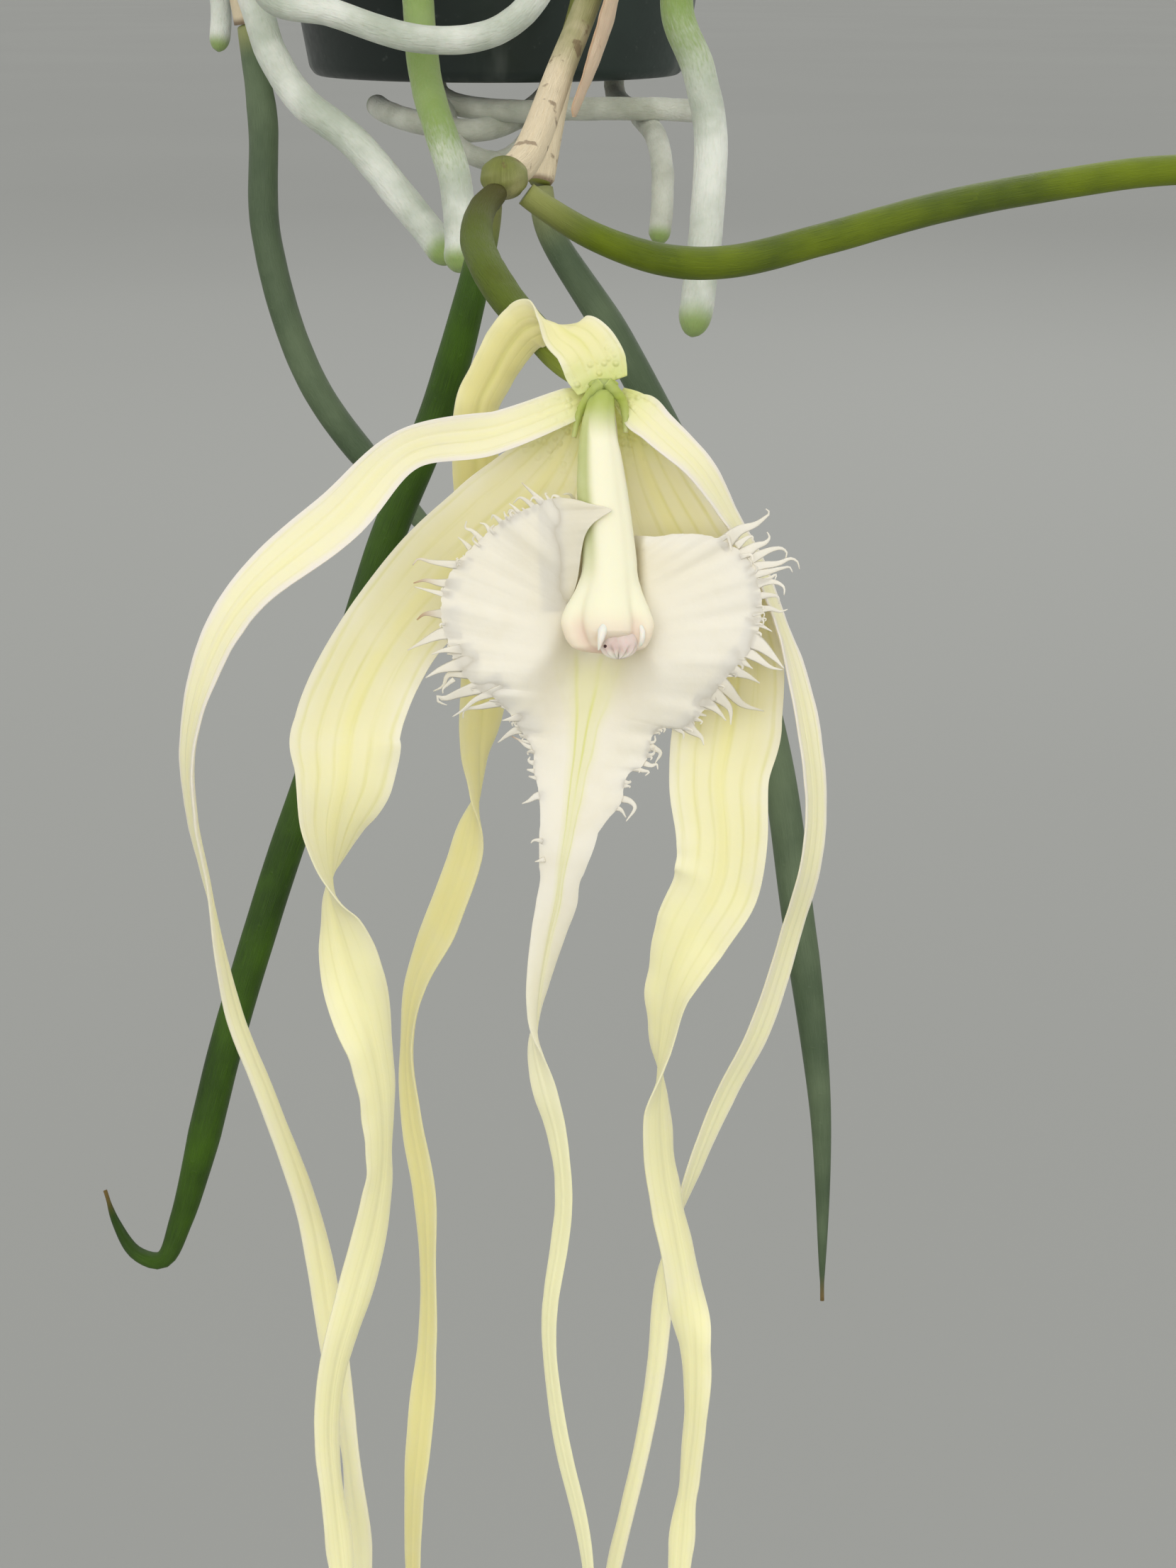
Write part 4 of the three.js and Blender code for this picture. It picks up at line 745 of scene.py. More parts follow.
class Paint:
    """The nodes of one material, round its Principled shader."""

    def __init__(self, name: str) -> None:
        """Starts a material of that name."""
        self.material = bpy.data.materials.new(name)
        self.material.use_nodes = True
        self.tree = self.material.node_tree
        self.shader = self.tree.nodes["Principled BSDF"]

    def node(self, kind: str, settings: dict | None = None, inputs: dict | None = None) -> bpy.types.Node:
        """Adds a node.

        Args:
            kind: The node's type.
            settings: Its properties, set first.
            inputs: Values or fields for its sockets, by name or number.

        Returns:
            The node.
        """
        node = self.tree.nodes.new(kind)
        for key, value in (settings or {}).items():
            setattr(node, key, value)
        for key, value in (inputs or {}).items():
            self.feed(node.inputs[key], value)
        return node

    def feed(self, socket: bpy.types.NodeSocket, value: object) -> None:
        """Sets a socket to a value, or links a field to it."""
        if isinstance(value, Field):
            self.tree.links.new(value.socket, socket)
        elif isinstance(value, tuple) and socket.type == "RGBA":
            socket.default_value = (*value, 1)
        else:
            socket.default_value = value

    def maths(self, operation: str, *values: Field | float) -> Field:
        """A Math node's result."""
        node = self.node("ShaderNodeMath", {"operation": operation}, dict(enumerate(values)))
        return Field(self, node.outputs[0])

    def flow(self) -> tuple[Field, Field]:
        """The surface's own coordinates: across, and along."""
        node = self.node("ShaderNodeUVMap", {"uv_map": "flow"})
        parts = self.node("ShaderNodeSeparateXYZ", None, {0: Field(self, node.outputs[0])})
        return Field(self, parts.outputs[0]), Field(self, parts.outputs[1])

    def place(self) -> Field:
        """The place on the object, in metres."""
        return Field(self, self.node("ShaderNodeTexCoord").outputs["Object"])

    def vector(self, x: Field | float, y: Field | float, z: Field | float = 0.0) -> Field:
        """Three values as a vector."""
        return Field(self, self.node("ShaderNodeCombineXYZ", None, {0: x, 1: y, 2: z}).outputs[0])

    def noise(self, scale: float, detail: float = 3.0, at: Field | None = None, rough: float = 0.5) -> Field:
        """A cloud of noise, about 0 to 1, at a place or on the object's coordinates."""
        inputs = {"Vector": at or self.place(), "Scale": scale, "Detail": detail, "Roughness": rough}
        return Field(self, self.node("ShaderNodeTexNoise", None, inputs).outputs[0])

    def step(self, value: Field, low: float, high: float, start: float = 0.0, end: float = 1.0) -> Field:
        """A smooth step of a value between two limits."""
        inputs = {0: value, 1: low, 2: high, 3: start, 4: end}
        node = self.node("ShaderNodeMapRange", {"interpolation_type": "SMOOTHSTEP"}, inputs)
        return Field(self, node.outputs[0])

    def mix(self, share: Field | float, first: Field | Colour, second: Field | Colour) -> Field:
        """Two colours mixed by a share."""
        node = self.node("ShaderNodeMix", {"data_type": "RGBA"}, {0: share, 6: first, 7: second})
        return Field(self, node.outputs[2])

    def bump(self, height: Field, distance: float, strength: float = 1.0) -> Field:
        """A bumped normal from a height, with its depth in metres."""
        inputs = {"Height": height, "Distance": distance, "Strength": strength}
        return Field(self, self.node("ShaderNodeBump", None, inputs).outputs[0])

    def veins(self, across: Field, along: Field, count: float, sharp: float) -> Field:
        """Lines that run along: a high power of the cosine of the place across, bent and broken by noise."""
        drift = self.noise(1.6, 2.0, self.vector(across * 1.6, along * 3.0))
        wave = self.maths("COSINE", across * (2 * math.pi * count) + drift * 5.0)
        broken = self.noise(5.0, 2.0, self.vector(across * 4.0, along * 2.5))
        return (self.maths("MAXIMUM", wave, 0.0) ** sharp) * self.step(broken, 0.25, 0.7)

    def finish(self, **sockets: Field | float | Colour) -> bpy.types.Material:
        """Sets the shader's sockets, named with underscores for spaces, and returns the material."""
        for key, value in sockets.items():
            self.feed(self.shader.inputs[key.replace("_", " ")], value)
        return self.material


@dataclass(frozen=True)
class PetalFinish:
    """Waxy petal tissue: pale body, fine veins, a stripe on the midline, a deeper tail."""

    name: str
    heart: Colour
    body: Colour
    margin: Colour
    tail: Colour
    stripe: Colour
    vein: Colour
    veins: int = 9
    veined: float = 0.35
    striped: float = 0.5
    tail_from: float = 0.3
    tail_by: float = 0.65
    roughness: float = 0.5

    def material(self) -> bpy.types.Material:
        """Builds it: body, margins, tail and heart by the flow, then veins, stripe, clouds and beads."""
        p = Paint(self.name)
        across, along = p.flow()
        off = abs(across - 0.5) * 2
        cloud = p.noise(240, 3)
        edge = p.step(off + (cloud - 0.5) * 0.3, 0.55, 1.0)
        colour = p.mix(edge, self.body, self.margin)
        tail = p.mix(edge * 0.35, self.tail, self.margin)
        colour = p.mix(p.step(along, self.tail_from, self.tail_by), colour, tail)
        colour = p.mix(p.step(along + (cloud - 0.5) * 0.05, 0.095, 0.015) * 0.9, colour, self.heart)
        lines = p.veins(across, along, self.veins, 2.5)
        lines = lines * p.step(along, self.tail_by + 0.1, self.tail_from, 0.3, 1.0)
        colour = p.mix(lines * self.veined, colour, self.vein)
        stripe = p.step(off, 0.22, 0.02) * p.step(along, 0.7, 0.3)
        colour = p.mix(stripe * self.striped, colour, self.stripe)
        colour = p.mix(p.step(cloud, 0.45, 0.8) * 0.25, colour, self.margin)
        fine = p.noise(2600, 3)
        root = p.step(along, 0.1, 0.03)
        cells = p.node("ShaderNodeTexVoronoi", None, {"Vector": p.place(), "Scale": 1500.0})
        beads = p.step(Field(p, cells.outputs[0]), 0.5, 0.1) * root
        height = lines * -0.25 + fine * 0.1 + cloud * 0.4 - stripe * 0.3 + beads * 1.2
        return p.finish(
            Base_Color=colour,
            Roughness=p.step(fine, 0.2, 0.8, self.roughness - 0.08, self.roughness + 0.1) - root * 0.2,
            Normal=p.bump(height, 0.00014, 0.7),
            Subsurface_Weight=0.25,
            Subsurface_Radius=(0.9, 0.75, 0.35),
            Subsurface_Scale=0.0012,
            Specular_IOR_Level=0.4,
            Sheen_Weight=0.08,
        )


@dataclass(frozen=True)
class LipFinish:
    """The lip's white, softly ribbed tissue, a green-yellow line down its middle, and painted shade in soft
    clouds and on its upper wings.
    """

    white: Colour = linear("f3ecdb")
    # shade is painted shade: a shaded copy of the white
    shade: Colour = linear("e3d9be")
    line: Colour = linear("dfe08a")
    tail: Colour = linear("fdf8c6")
    brown: Colour = linear("b98f6e")

    def material(self) -> bpy.types.Material:
        """Builds it; the flow runs across -1 to 1 as 0 to 1, and the blade ends at a third along."""
        p = Paint("lip_tissue")
        across, along = p.flow()
        off = abs(across - 0.5) * 2
        cloud = p.noise(260, 4)
        # Soft random clouds of painted shade over the white
        colour = p.mix(p.step(cloud, 0.4, 0.8) * 0.35, self.white, self.shade)
        # Painted shade on the upper wings, over the outer parts of the blade's top
        upper = p.step(along, 0.15, 0.03) * p.step(off, 1.0, 0.5)
        colour = p.mix(upper * 0.6, colour, self.shade)
        colour = p.mix(p.step(along, 0.38, 0.7), colour, self.tail)
        lines = p.veins(across, along, 13, 3.0)
        band = p.step(off, 0.34, 0.06) * p.step(along, 0.14, 0.2) * p.step(along, 0.6, 0.36)
        colour = p.mix(band * (0.4 + 0.6 * lines), colour, self.line)
        colour = p.mix(p.step(off, 1.0, 1.55), colour, self.brown)
        ribs = p.noise(16, 3, p.vector(across * 0.5, along * 12.0))
        fine = p.noise(2200, 3)
        height = ribs * 0.07 + fine * 0.15 + cloud * 0.8 - band * lines * 0.3
        return p.finish(
            Base_Color=colour,
            Roughness=p.step(fine, 0.2, 0.8, 0.5, 0.66),
            Normal=p.bump(height, 0.0002, 0.6),
            Subsurface_Weight=0.3,
            Subsurface_Radius=(0.9, 0.8, 0.6),
            Subsurface_Scale=0.0012,
            Specular_IOR_Level=0.35,
            Sheen_Weight=0.12,
        )


@dataclass(frozen=True)
class ColumnFinish:
    """The column: green at its root and left flank, ivory below, peach-pink round its tip, and pink painted
    shade in its grooves and over its end.
    """

    ivory: Colour = linear("f7f3d6")
    green: Colour = linear("a9b850")
    blush: Colour = linear("f3ddc8")
    # pink is painted shade with the tissue's pink, in the grooves and over the end
    pink: Colour = linear("dcb3a4")

    def material(self) -> bpy.types.Material:
        """Builds it from the flow: across is the angle, from the right flank, along is root to tip."""
        p = Paint("column_tissue")
        across, along = p.flow()
        left = p.step(abs(across - 0.56), 0.15, 0.07)
        green = p.maths("MAXIMUM", p.step(along, 0.16, 0.02), left * p.step(along, 0.62, 0.3) * 0.75)
        cloud = p.noise(350, 3)
        colour = p.mix(green * (0.6 + 0.6 * cloud), self.ivory, self.green)
        colour = p.mix(p.step(along, 0.68, 0.9) * 0.7, colour, self.blush)
        # Pink painted shade in the grooves beside the tube, low on the column
        groove_shade = p.step(abs(abs(across - 0.75) - 0.12), 0.05, 0.01)
        colour = p.mix(groove_shade * p.step(along, 0.7, 0.85) * 0.25, colour, self.pink)
        # Pink painted shade over the hollow end
        colour = p.mix(p.step(along, 0.95, 1.0) * 0.5, colour, self.pink)
        return p.finish(
            Base_Color=colour,
            Roughness=p.step(cloud, 0.3, 0.7, 0.38, 0.5),
            Normal=p.bump(cloud + p.noise(1500, 2) * 0.3, 0.0001, 0.5),
            Subsurface_Weight=0.35,
            Subsurface_Radius=(1.0, 0.8, 0.5),
            Subsurface_Scale=0.0016,
            Specular_IOR_Level=0.45,
        )


class LeafTone(Enum):
    """The greens that the leaves come in: shaded side, lit side."""

    DARK = ("1f3800", "3f6200")
    OLIVE = ("445600", "6f8000")
    GREY = ("46583c", "667658")


@dataclass(frozen=True)
class LeafFinish:
    """A satin, round leaf with faint lengthwise fibres and a paler groove."""

    tone: LeafTone

    def material(self) -> bpy.types.Material:
        """Builds it from two greens, clouds, fibres that run along and small pale dots."""
        p = Paint("leaf_" + self.tone.name.lower())
        across, along = p.flow()
        deep, lit = (linear(code) for code in self.tone.value)
        cloud = p.noise(90, 3)
        fibres = p.noise(8, 3, p.vector(across * 22.0, along * 5.0))
        colour = p.mix(p.step(cloud + fibres * 0.4, 0.45, 0.95), deep, lit)
        groove = p.maths("MAXIMUM", p.step(across, 0.1, 0.0), p.step(across, 0.9, 1.0))
        colour = p.mix(groove * 0.45, colour, lit)
        colour = p.mix(p.step(along, 0.06, 0.0) * 0.6, colour, linear("a9a96a"))
        colour = p.mix(p.step(along, 0.975, 1.0) * 0.7, colour, linear("8a6a3a"))
        dots = p.step(p.noise(1500, 1), 0.68, 0.78)
        colour = p.mix(dots * 0.25, colour, lit)
        return p.finish(
            Base_Color=colour,
            Roughness=p.step(cloud, 0.3, 0.7, 0.34, 0.5),
            Normal=p.bump(fibres * 0.8 + dots * 0.2, 0.00018, 0.6),
            Specular_IOR_Level=0.3,
        )


@dataclass(frozen=True)
class StemFinish:
    """A green stem in dry, papery sheaths; the flow along counts the joints."""

    name: str = "stem_sheaths"
    green: Colour = linear("7c8236")
    paper: Colour = linear("f2d8ae")
    pale: Colour = linear("fff3dc")
    speck: Colour = linear("6b4a30")

    def material(self) -> bpy.types.Material:
        """Builds it: green shows low on each joint and the dry sheath near its mouth, with brown flecks."""
        p = Paint(self.name)
        across, along = p.flow()
        joint = p.maths("FRACT", along)
        fibres = p.noise(6, 4, p.vector(across * 26.0, along * 1.6))
        patches = p.noise(120, 4)
        dry = p.step(joint + patches * 0.9 - 0.45, 0.1, 0.55)
        sheath = p.mix(fibres, self.paper, self.pale)
        colour = p.mix(dry * 0.85, self.green, sheath)
        fleck = p.step(p.noise(700, 3), 0.62, 0.7)
        colour = p.mix(fleck * 0.6, colour, self.speck)
        colour = p.mix(p.step(joint, 0.965, 0.995) * 0.7, colour, self.speck)
        return p.finish(
            Base_Color=colour,
            Roughness=p.step(dry, 0.0, 1.0, 0.45, 0.82),
            Normal=p.bump(fibres + patches * 0.5, 0.00022, 0.8),
        )


@dataclass(frozen=True)
class PedicelFinish:
    """The flower's olive stalk, browner at its foot and greener at the heart."""

    foot: Colour = linear("4a4712")
    olive: Colour = linear("56660c")
    heart: Colour = linear("a9b84c")

    def material(self) -> bpy.types.Material:
        """Builds it along the flow, with soft ribs and dots."""
        p = Paint("pedicel_skin")
        across, along = p.flow()
        cloud = p.noise(220, 3)
        colour = p.mix(p.step(along + cloud * 0.2 - 0.1, 0.0, 0.4), self.foot, self.olive)
        colour = p.mix(p.step(along, 0.72, 0.98) * 0.85, colour, self.heart)
        colour = p.mix(p.step(cloud, 0.5, 0.8) * 0.3, colour, self.foot)
        ribs = p.noise(7, 2, p.vector(across * 14.0, along * 3.0))
        return p.finish(
            Base_Color=colour,
            Roughness=p.step(cloud, 0.3, 0.7, 0.4, 0.55),
            Normal=p.bump(ribs + cloud * 0.4, 0.0002, 0.7),
            Specular_IOR_Level=0.3,
        )


@dataclass(frozen=True)
class RootFinish:
    """Velvety white root skin that lets green through, with a green growing tip."""

    name: str
    white: Colour = linear("e4e7dd")
    grey: Colour = linear("b5bdad")
    green: Colour = linear("7c9a30")
    greened: float = 0.12
    green_until: float = 0.0

    def material(self) -> bpy.types.Material:
        """Builds it: white clouds over grey, green by share along and at the tip, and a matt bump."""
        p = Paint(self.name)
        across, along = p.flow()
        cloud = p.noise(160, 4)
        streak = p.noise(5, 3, p.vector(across * 9.0, along * 14.0))
        colour = p.mix(p.step(cloud, 0.3, 0.7), self.grey, self.white)
        colour = p.mix(p.step(streak, 0.45, 0.8) * self.greened, colour, self.green)
        if self.green_until > 0:
            fade = p.step(along + streak * 0.16 - 0.08, self.green_until, self.green_until - 0.16)
            colour = p.mix(fade * 0.85, colour, self.green)
        colour = p.mix(p.step(along, 0.93, 0.985) * 0.85, colour, self.green)
        fine = p.noise(1400, 4)
        return p.finish(
            Base_Color=colour,
            Roughness=p.step(fine, 0.2, 0.8, 0.7, 0.9),
            Normal=p.bump(fine * 0.5 + cloud * 0.6 + streak * 0.5, 0.0003, 0.8),
            Subsurface_Weight=0.08,
            Subsurface_Scale=0.0015,
            Sheen_Weight=0.25,
        )


@dataclass(frozen=True)
class PotFinish:
    """Dark green-black moulded plastic with pale vertical streaks, dust and fine pale scuffs."""

    dark: Colour = linear("141f1b")
    worn: Colour = linear("2a3a33")
    pale_grey: Colour = linear("8d938c")

    def material(self) -> bpy.types.Material:
        """Builds it on the object's coordinates, with pale streaks that run down."""
        p = Paint("pot_plastic")
        cloud = p.noise(28, 4)
        stretch = p.node("ShaderNodeMapping", None, {"Vector": p.place(), "Scale": (1.0, 1.0, 0.16)})
        pale_streaks = p.noise(120, 4, Field(p, stretch.outputs[0]))
        scuff = p.noise(900, 4)
        colour = p.mix(p.step(cloud, 0.35, 0.75), self.dark, self.worn)
        # Pale grey streaks that run down the wall
        colour = p.mix(p.step(pale_streaks + cloud * 0.3, 0.72, 0.95) * 0.4, colour, self.pale_grey)
        colour = p.mix(p.step(scuff, 0.62, 0.8) * 0.15, colour, self.pale_grey)
        return p.finish(
            Base_Color=colour,
            Roughness=p.step(cloud + scuff * 0.4, 0.4, 1.0, 0.3, 0.6),
            Normal=p.bump(scuff * 0.3 + pale_streaks * 0.3, 0.00012, 0.6),
        )


@dataclass(frozen=True)
class BarkFinish:
    """Chips of conifer bark: red-brown faces, grey weathered crust, and cracks painted near black as their
    shade.
    """

    brown: Colour = linear("5c3a22")
    red: Colour = linear("8a5a36")
    crust: Colour = linear("8b8072")
    crack_shade: Colour = linear("1c120b")

    def material(self) -> bpy.types.Material:
        """Builds it; the flow across holds each chip's own tone."""
        p = Paint("bark_chips")
        tone, _ = p.flow()
        cloud = p.noise(180, 5)
        layers = p.noise(600, 4, rough=0.65)
        colour = p.mix(p.step(tone + cloud * 0.5, 0.3, 1.0), self.brown, self.red)
        colour = p.mix(p.step(cloud, 0.55, 0.8) * 0.6, colour, self.crust)
        # Painted shade: near black where the bump's fine layers are lowest, in the cracks
        colour = p.mix(p.step(layers, 0.42, 0.28) * 0.9, colour, self.crack_shade)
        return p.finish(
            Base_Color=colour,
            Roughness=p.step(cloud, 0.2, 0.8, 0.8, 0.98),
            Normal=p.bump(layers + cloud * 0.6, 0.0008, 0.9),
        )


@dataclass(frozen=True)
class WireFinish:
    """Galvanised wire with a little dulling and rust where it has been bent."""

    zinc: Colour = linear("b9bcbd")
    dull: Colour = linear("84888a")
    rust: Colour = linear("7a4a2a")

    def material(self) -> bpy.types.Material:
        """Builds it on the object's coordinates."""
        p = Paint("wire_zinc")
        cloud = p.noise(140, 4)
        fine = p.noise(1600, 3)
        rust = p.step(p.noise(90, 5), 0.66, 0.74)
        colour = p.mix(p.step(cloud, 0.3, 0.7), self.zinc, self.dull)
        colour = p.mix(rust * 0.5, colour, self.rust)
        return p.finish(
            Base_Color=colour,
            Metallic=1 - rust * 0.7,
            Roughness=p.step(cloud + fine * 0.4, 0.4, 1.0, 0.28, 0.5),
            Normal=p.bump(fine + cloud, 0.00006, 0.5),
        )


# The flower

@dataclass
class Petals:
    """The two petals and three sepals, each one twisted blade."""

    petal: PetalFinish = PetalFinish(
        "petal_tissue", heart=linear("dde08c"), body=linear("f6efc6"), margin=linear("f3eadb"),
        tail=linear("fdf7c8"), stripe=linear("f4eda6"), vein=linear("efe7a4"),
        veins=4, veined=0.4, striped=0.28)
    lateral: PetalFinish = PetalFinish(
        "lateral_sepal_tissue", heart=linear("d9de84"), body=linear("efe8bc"), margin=linear("f5eed2"),
        tail=linear("fdf6c0"), stripe=linear("f0e894"), vein=linear("dcd67e"),
        veins=6, veined=0.55, striped=0.4, tail_from=0.25, tail_by=0.5)
    dorsal: PetalFinish = PetalFinish(
        "dorsal_sepal_tissue", heart=linear("cfd87c"), body=linear("f0e9b0"), margin=linear("f4edcc"),
        tail=linear("f3e9a6"), stripe=linear("e6e290"), vein=linear("dcd888"),
        veins=5, veined=0.5, striped=0.4, tail_from=0.08, tail_by=0.3)

    def build(self) -> None:
        """Makes and dresses the five blades."""
        petal, lateral, dorsal = (f.material() for f in (self.petal, self.lateral, self.dorsal))
        blades = [
            ("petal_left", "petal", petal, Ribbon(PETAL_LEFT, cup=0.1, seed=3, ripples=9)),
            ("petal_right", "petal", petal, Ribbon(PETAL_RIGHT, cup=0.1, seed=5, ripples=9)),
            ("sepal_left", "sepal", lateral, Ribbon(SEPAL_LEFT, cup=0.07, ripple=0.28, seed=7)),
            ("sepal_right", "sepal", lateral, Ribbon(SEPAL_RIGHT, cup=0.07, ripple=0.32, seed=12)),
            ("sepal_dorsal", "sepal", dorsal, Ribbon(SEPAL_DORSAL, cup=0.08, ripple=0.2, seed=15)),
        ]
        for node, slot, material, blade in blades:
            add(node + "_blade", blade.patch(), material, node, slot)


@dataclass
class Lip:
    """The lip: a heart-shaped blade that runs on into a long tail, with a fringe of hairs."""

    finish: LipFinish = LipFinish()
    blade_rows: int = 320
    tail_rows: int = 160
    columns: int = 72
    thickness: float = 0.4
    edge: float = 0.09
    fold: float = 0.3
    crimp: float = 0.02
    channel_at: float = 0.55
    channel_depth: float = 3.1
    channel_half: float = 0.9
    wing_rise: float = 3.8
    low_rise: float = 0.9
    wing_reach: float = 2.9
    fall: float = 0.009
    left_lean: float = 1.3
    tail_at: float = -2.2
    tail_top: float = -34.3
    tail_depth: float = 2.8
    lap_rows: int = 90
    lap_columns: int = 30
    lap_behind: float = 0.06
    lap_wave: float = 0.12
    lap_thickness: float = 0.26
    lap_along: float = 0.02
    hair_steps: int = 18
    hair_sides: int = 8
    hair_half: float = 0.06
    hair_least: float = 0.045
    hair_sunk: float = 0.09
    down: int = 40

    def __post_init__(self) -> None:
        """Lays the margins and the midline, and reads off where they are for each share."""
        self.middle = Path.through(LIP_MIDDLE)
        self.margins = {-1: Path.through(LIP_LEFT), 1: Path.through(LIP_RIGHT)}
        self.shares = np.linspace(0, 1, 301)
        self.rims = {side: path.at(path.by_length(self.shares)) for side, path in self.margins.items()}

    def level(self, x: np.ndarray, z: np.ndarray) -> np.ndarray:
        """How far the blade lies behind the heart: a channel under the column, wings, then the tail.

        The wings rise from the channel over a reach that grows down the lip, and they rise less low
        down. Further out they fall back as the square of the way. The left wing's inner side leans
        forward besides. From z -28.5 down all this eases into the straight slope of the tail.
        """
        middle = self.channel_at + (self.tail_at - self.channel_at) * smooth(14, 32, -z)
        away = np.abs(x - middle)
        rise = self.low_rise + (self.wing_rise - self.low_rise) * smooth(-29, -21, z)
        reach = self.wing_reach + 0.8 * smooth(-16, -20, z) + 2.3 * smooth(-19, -24, z)
        fall = self.fall * np.maximum(0, away - 4) ** 2
        depth = self.channel_depth - rise * smooth(self.channel_half, reach, away) + fall
        depth = depth - self.left_lean * smooth(-9, -3.5, x) * smooth(-2, -3, x) * smooth(-18, -12, z)
        slope = self.tail_depth - 0.05 * (z - self.tail_top)
        return depth + (slope - depth) * smooth(28.5, -self.tail_top, -z)

    def folds(self, v: np.ndarray, u: np.ndarray) -> np.ndarray:
        """Soft folds that fan out to a ruffled margin, over the share v down the lip and u across it."""
        out = np.abs(u)
        pairs = [
            np.where(u > 0, Wobble(seed, along=rate, across=0).at(v, 0 * u),
                     Wobble(seed + 1, along=rate, across=0).at(v, 0 * u))
            for seed, rate in ((21, 4.5), (23, 16))
        ]
        calm = smooth(1.0, 0.82, v)
        folded = self.fold * pairs[0] * smooth(0.25, 1.0, out)
        return calm * (folded + self.crimp * pairs[1] * smooth(0.4, 0.9, out))

    def blade_point(self, v: np.ndarray, u: np.ndarray) -> np.ndarray:
        """The blade at share v down it and u from -1, the left margin, to 1, the right margin.

        x and z run straight from the midline to the margin, and y is the level plus the folds.
        """
        middle = self.middle.at(v)
        left, right = (self.margins[side].at(self.margins[side].by_length(v)) for side in (-1, 1))
        ragged = 1 + 0.012 * Wobble(27, waves=9, along=40, across=0).at(v, 0 * u) * smooth(1, 0.9, v)
        reach = np.abs(u) * (1 + (ragged - 1) * smooth(0.8, 1, np.abs(u)))
        margin = np.where((u < 0)[..., None], left, right)
        x, z = np.moveaxis(middle + (margin - middle) * reach[..., None], -1, 0)
        return np.stack([x, self.level(x, z) + self.folds(v, u), z], axis=-1)

    def body(self) -> Patch:
        """Blade and tail as one closed skin."""
        u = bunched(self.columns)
        v = np.linspace(0, 1, self.blade_rows)
        blade = self.blade_point(*np.meshgrid(v, u, indexing="ij"))
        last = len(LIP_TAIL) - 1
        s = np.linspace(2 / last, 1, self.tail_rows + 1)[1:]
        strip = Ribbon(LIP_TAIL, cup=-0.05, keel=-0.1, ripple=0.1, ripples=8, seed=31)
        tail, _ = strip.surface(s, -u)
        ease = smooth(2 / last, 3 / last, s)[:, None]
        tail[..., 1] = self.level(*tail[..., [0, 2]].transpose(2, 0, 1)) * (1 - ease) + tail[..., 1] * ease
        points = np.concatenate([blade, tail])
        along = np.concatenate([v / 3, 1 / 3 + (s - s[0]) / (1 - s[0]) * 2 / 3])
        return closed_blade(points, facing(points), along, u, self.thickness, self.edge)

    def lap(self) -> Patch:
        """The corner of the left wing that comes forward and laps over the column.

        Its rows run from a line just behind the wing's surface to the margin of the lap, straight in x
        and z, and forward as the share across to the power 1.3, with a slight wave.
        """
        rows = Path.through(LIP_LAP)
        v = np.linspace(0, 1, self.lap_rows)[:, None]
        u = bunched(self.lap_columns)
        share = (u / 2 + 0.5)[None, :]
        out_x, out_z, x, y, z = (rows.at(v[:, 0])[:, k : k + 1] for k in range(5))
        start = self.level(out_x, out_z) + self.lap_behind
        wave = self.lap_wave * Wobble(29, along=3, across=0).at(v, 0 * share) * share**2
        depth = start + (y - start) * share**1.3 + wave
        points = np.stack([out_x + (x - out_x) * share, depth, out_z + (z - out_z) * share], axis=-1)
        along = np.full(self.lap_rows, self.lap_along)
        patch = closed_blade(points, facing(points), along, u, self.lap_thickness, self.edge)
        patch.flow[..., 0] *= 0.4
        return patch

    def surface(self, x: np.ndarray, z: np.ndarray, side: int) -> np.ndarray:
        """The depth of the folded blade at x, z, also beyond its margin.

        The share down the lip is that of the nearest margin point, and the place across is 1 less
        the distance to that point over the rib's length, and at least 0.3.
        """
        rim = self.rims[side]
        gaps = np.hypot(x[..., None] - rim[:, 0], z[..., None] - rim[:, 1])
        near = gaps.argmin(axis=-1)
        share = self.shares[near]
        rib = np.linalg.norm(rim[near] - self.middle.at(share), axis=-1)
        u = side * np.clip(1 - gaps.min(axis=-1) / rib, 0.3, 1)
        return self.level(x, z) + self.folds(share, u)

    def hair(self, route: Sequence[Sequence[float]], width: float, brown: float, seed: int) -> Patch:
        """One flat hair that tapers as (1 - t)^1.25 along its route and leans a little out of the blade.

        Every point of its skin lies on the blade's surface, carried on past the margin, so that the
        hair grows out of the blade without a step.

        Args:
            route: x and z of its points, from the root inside the margin to the tip.
            width: At the root, in millimetres.
            brown: How brown the tip is, 0 to 1.
            seed: Of its lean.

        Returns:
            The closed patch.
        """
        path = Path.through(route)
        t = np.linspace(0, 1, self.hair_steps)[:, None]
        centre = path.at(path.by_length(t[:, 0]))
        step = unit(np.gradient(centre, axis=0))
        root_x, root_z = route[0]
        side = -1 if root_x < self.channel_at - 0.1 * (-10 - root_z) else 1
        lean = np.random.default_rng(seed).normal(0, 0.3) * path.length() * 0.5
        wide = width / 2 * (1 - t) ** 1.25 * smooth(-0.25, 0.1, t) + self.hair_least
        thick = self.hair_half * smooth(-0.1, 0.3, t) * (1 - 0.4 * t)
        sunk = self.hair_sunk * smooth(0.3, 0, t)
        ring = around(self.hair_sides)
        x = centre[:, :1] + step[:, 1:] * wide * np.cos(ring)
        z = centre[:, 1:] - step[:, :1] * wide * np.cos(ring)
        y = self.surface(x, z, side) + sunk + lean * t**2 + thick * np.sin(ring)
        place = self.shares[np.hypot(*(self.rims[side] - centre[4]).T).argmin()] / 3
        spread = 0.5 + side * (0.49 + 0.3 * brown * t**2)
        flow = flowing(spread, np.full((1, self.hair_sides + 1), place))
        return grid(to_row(np.stack([x, y, z], axis=-1)), flow)

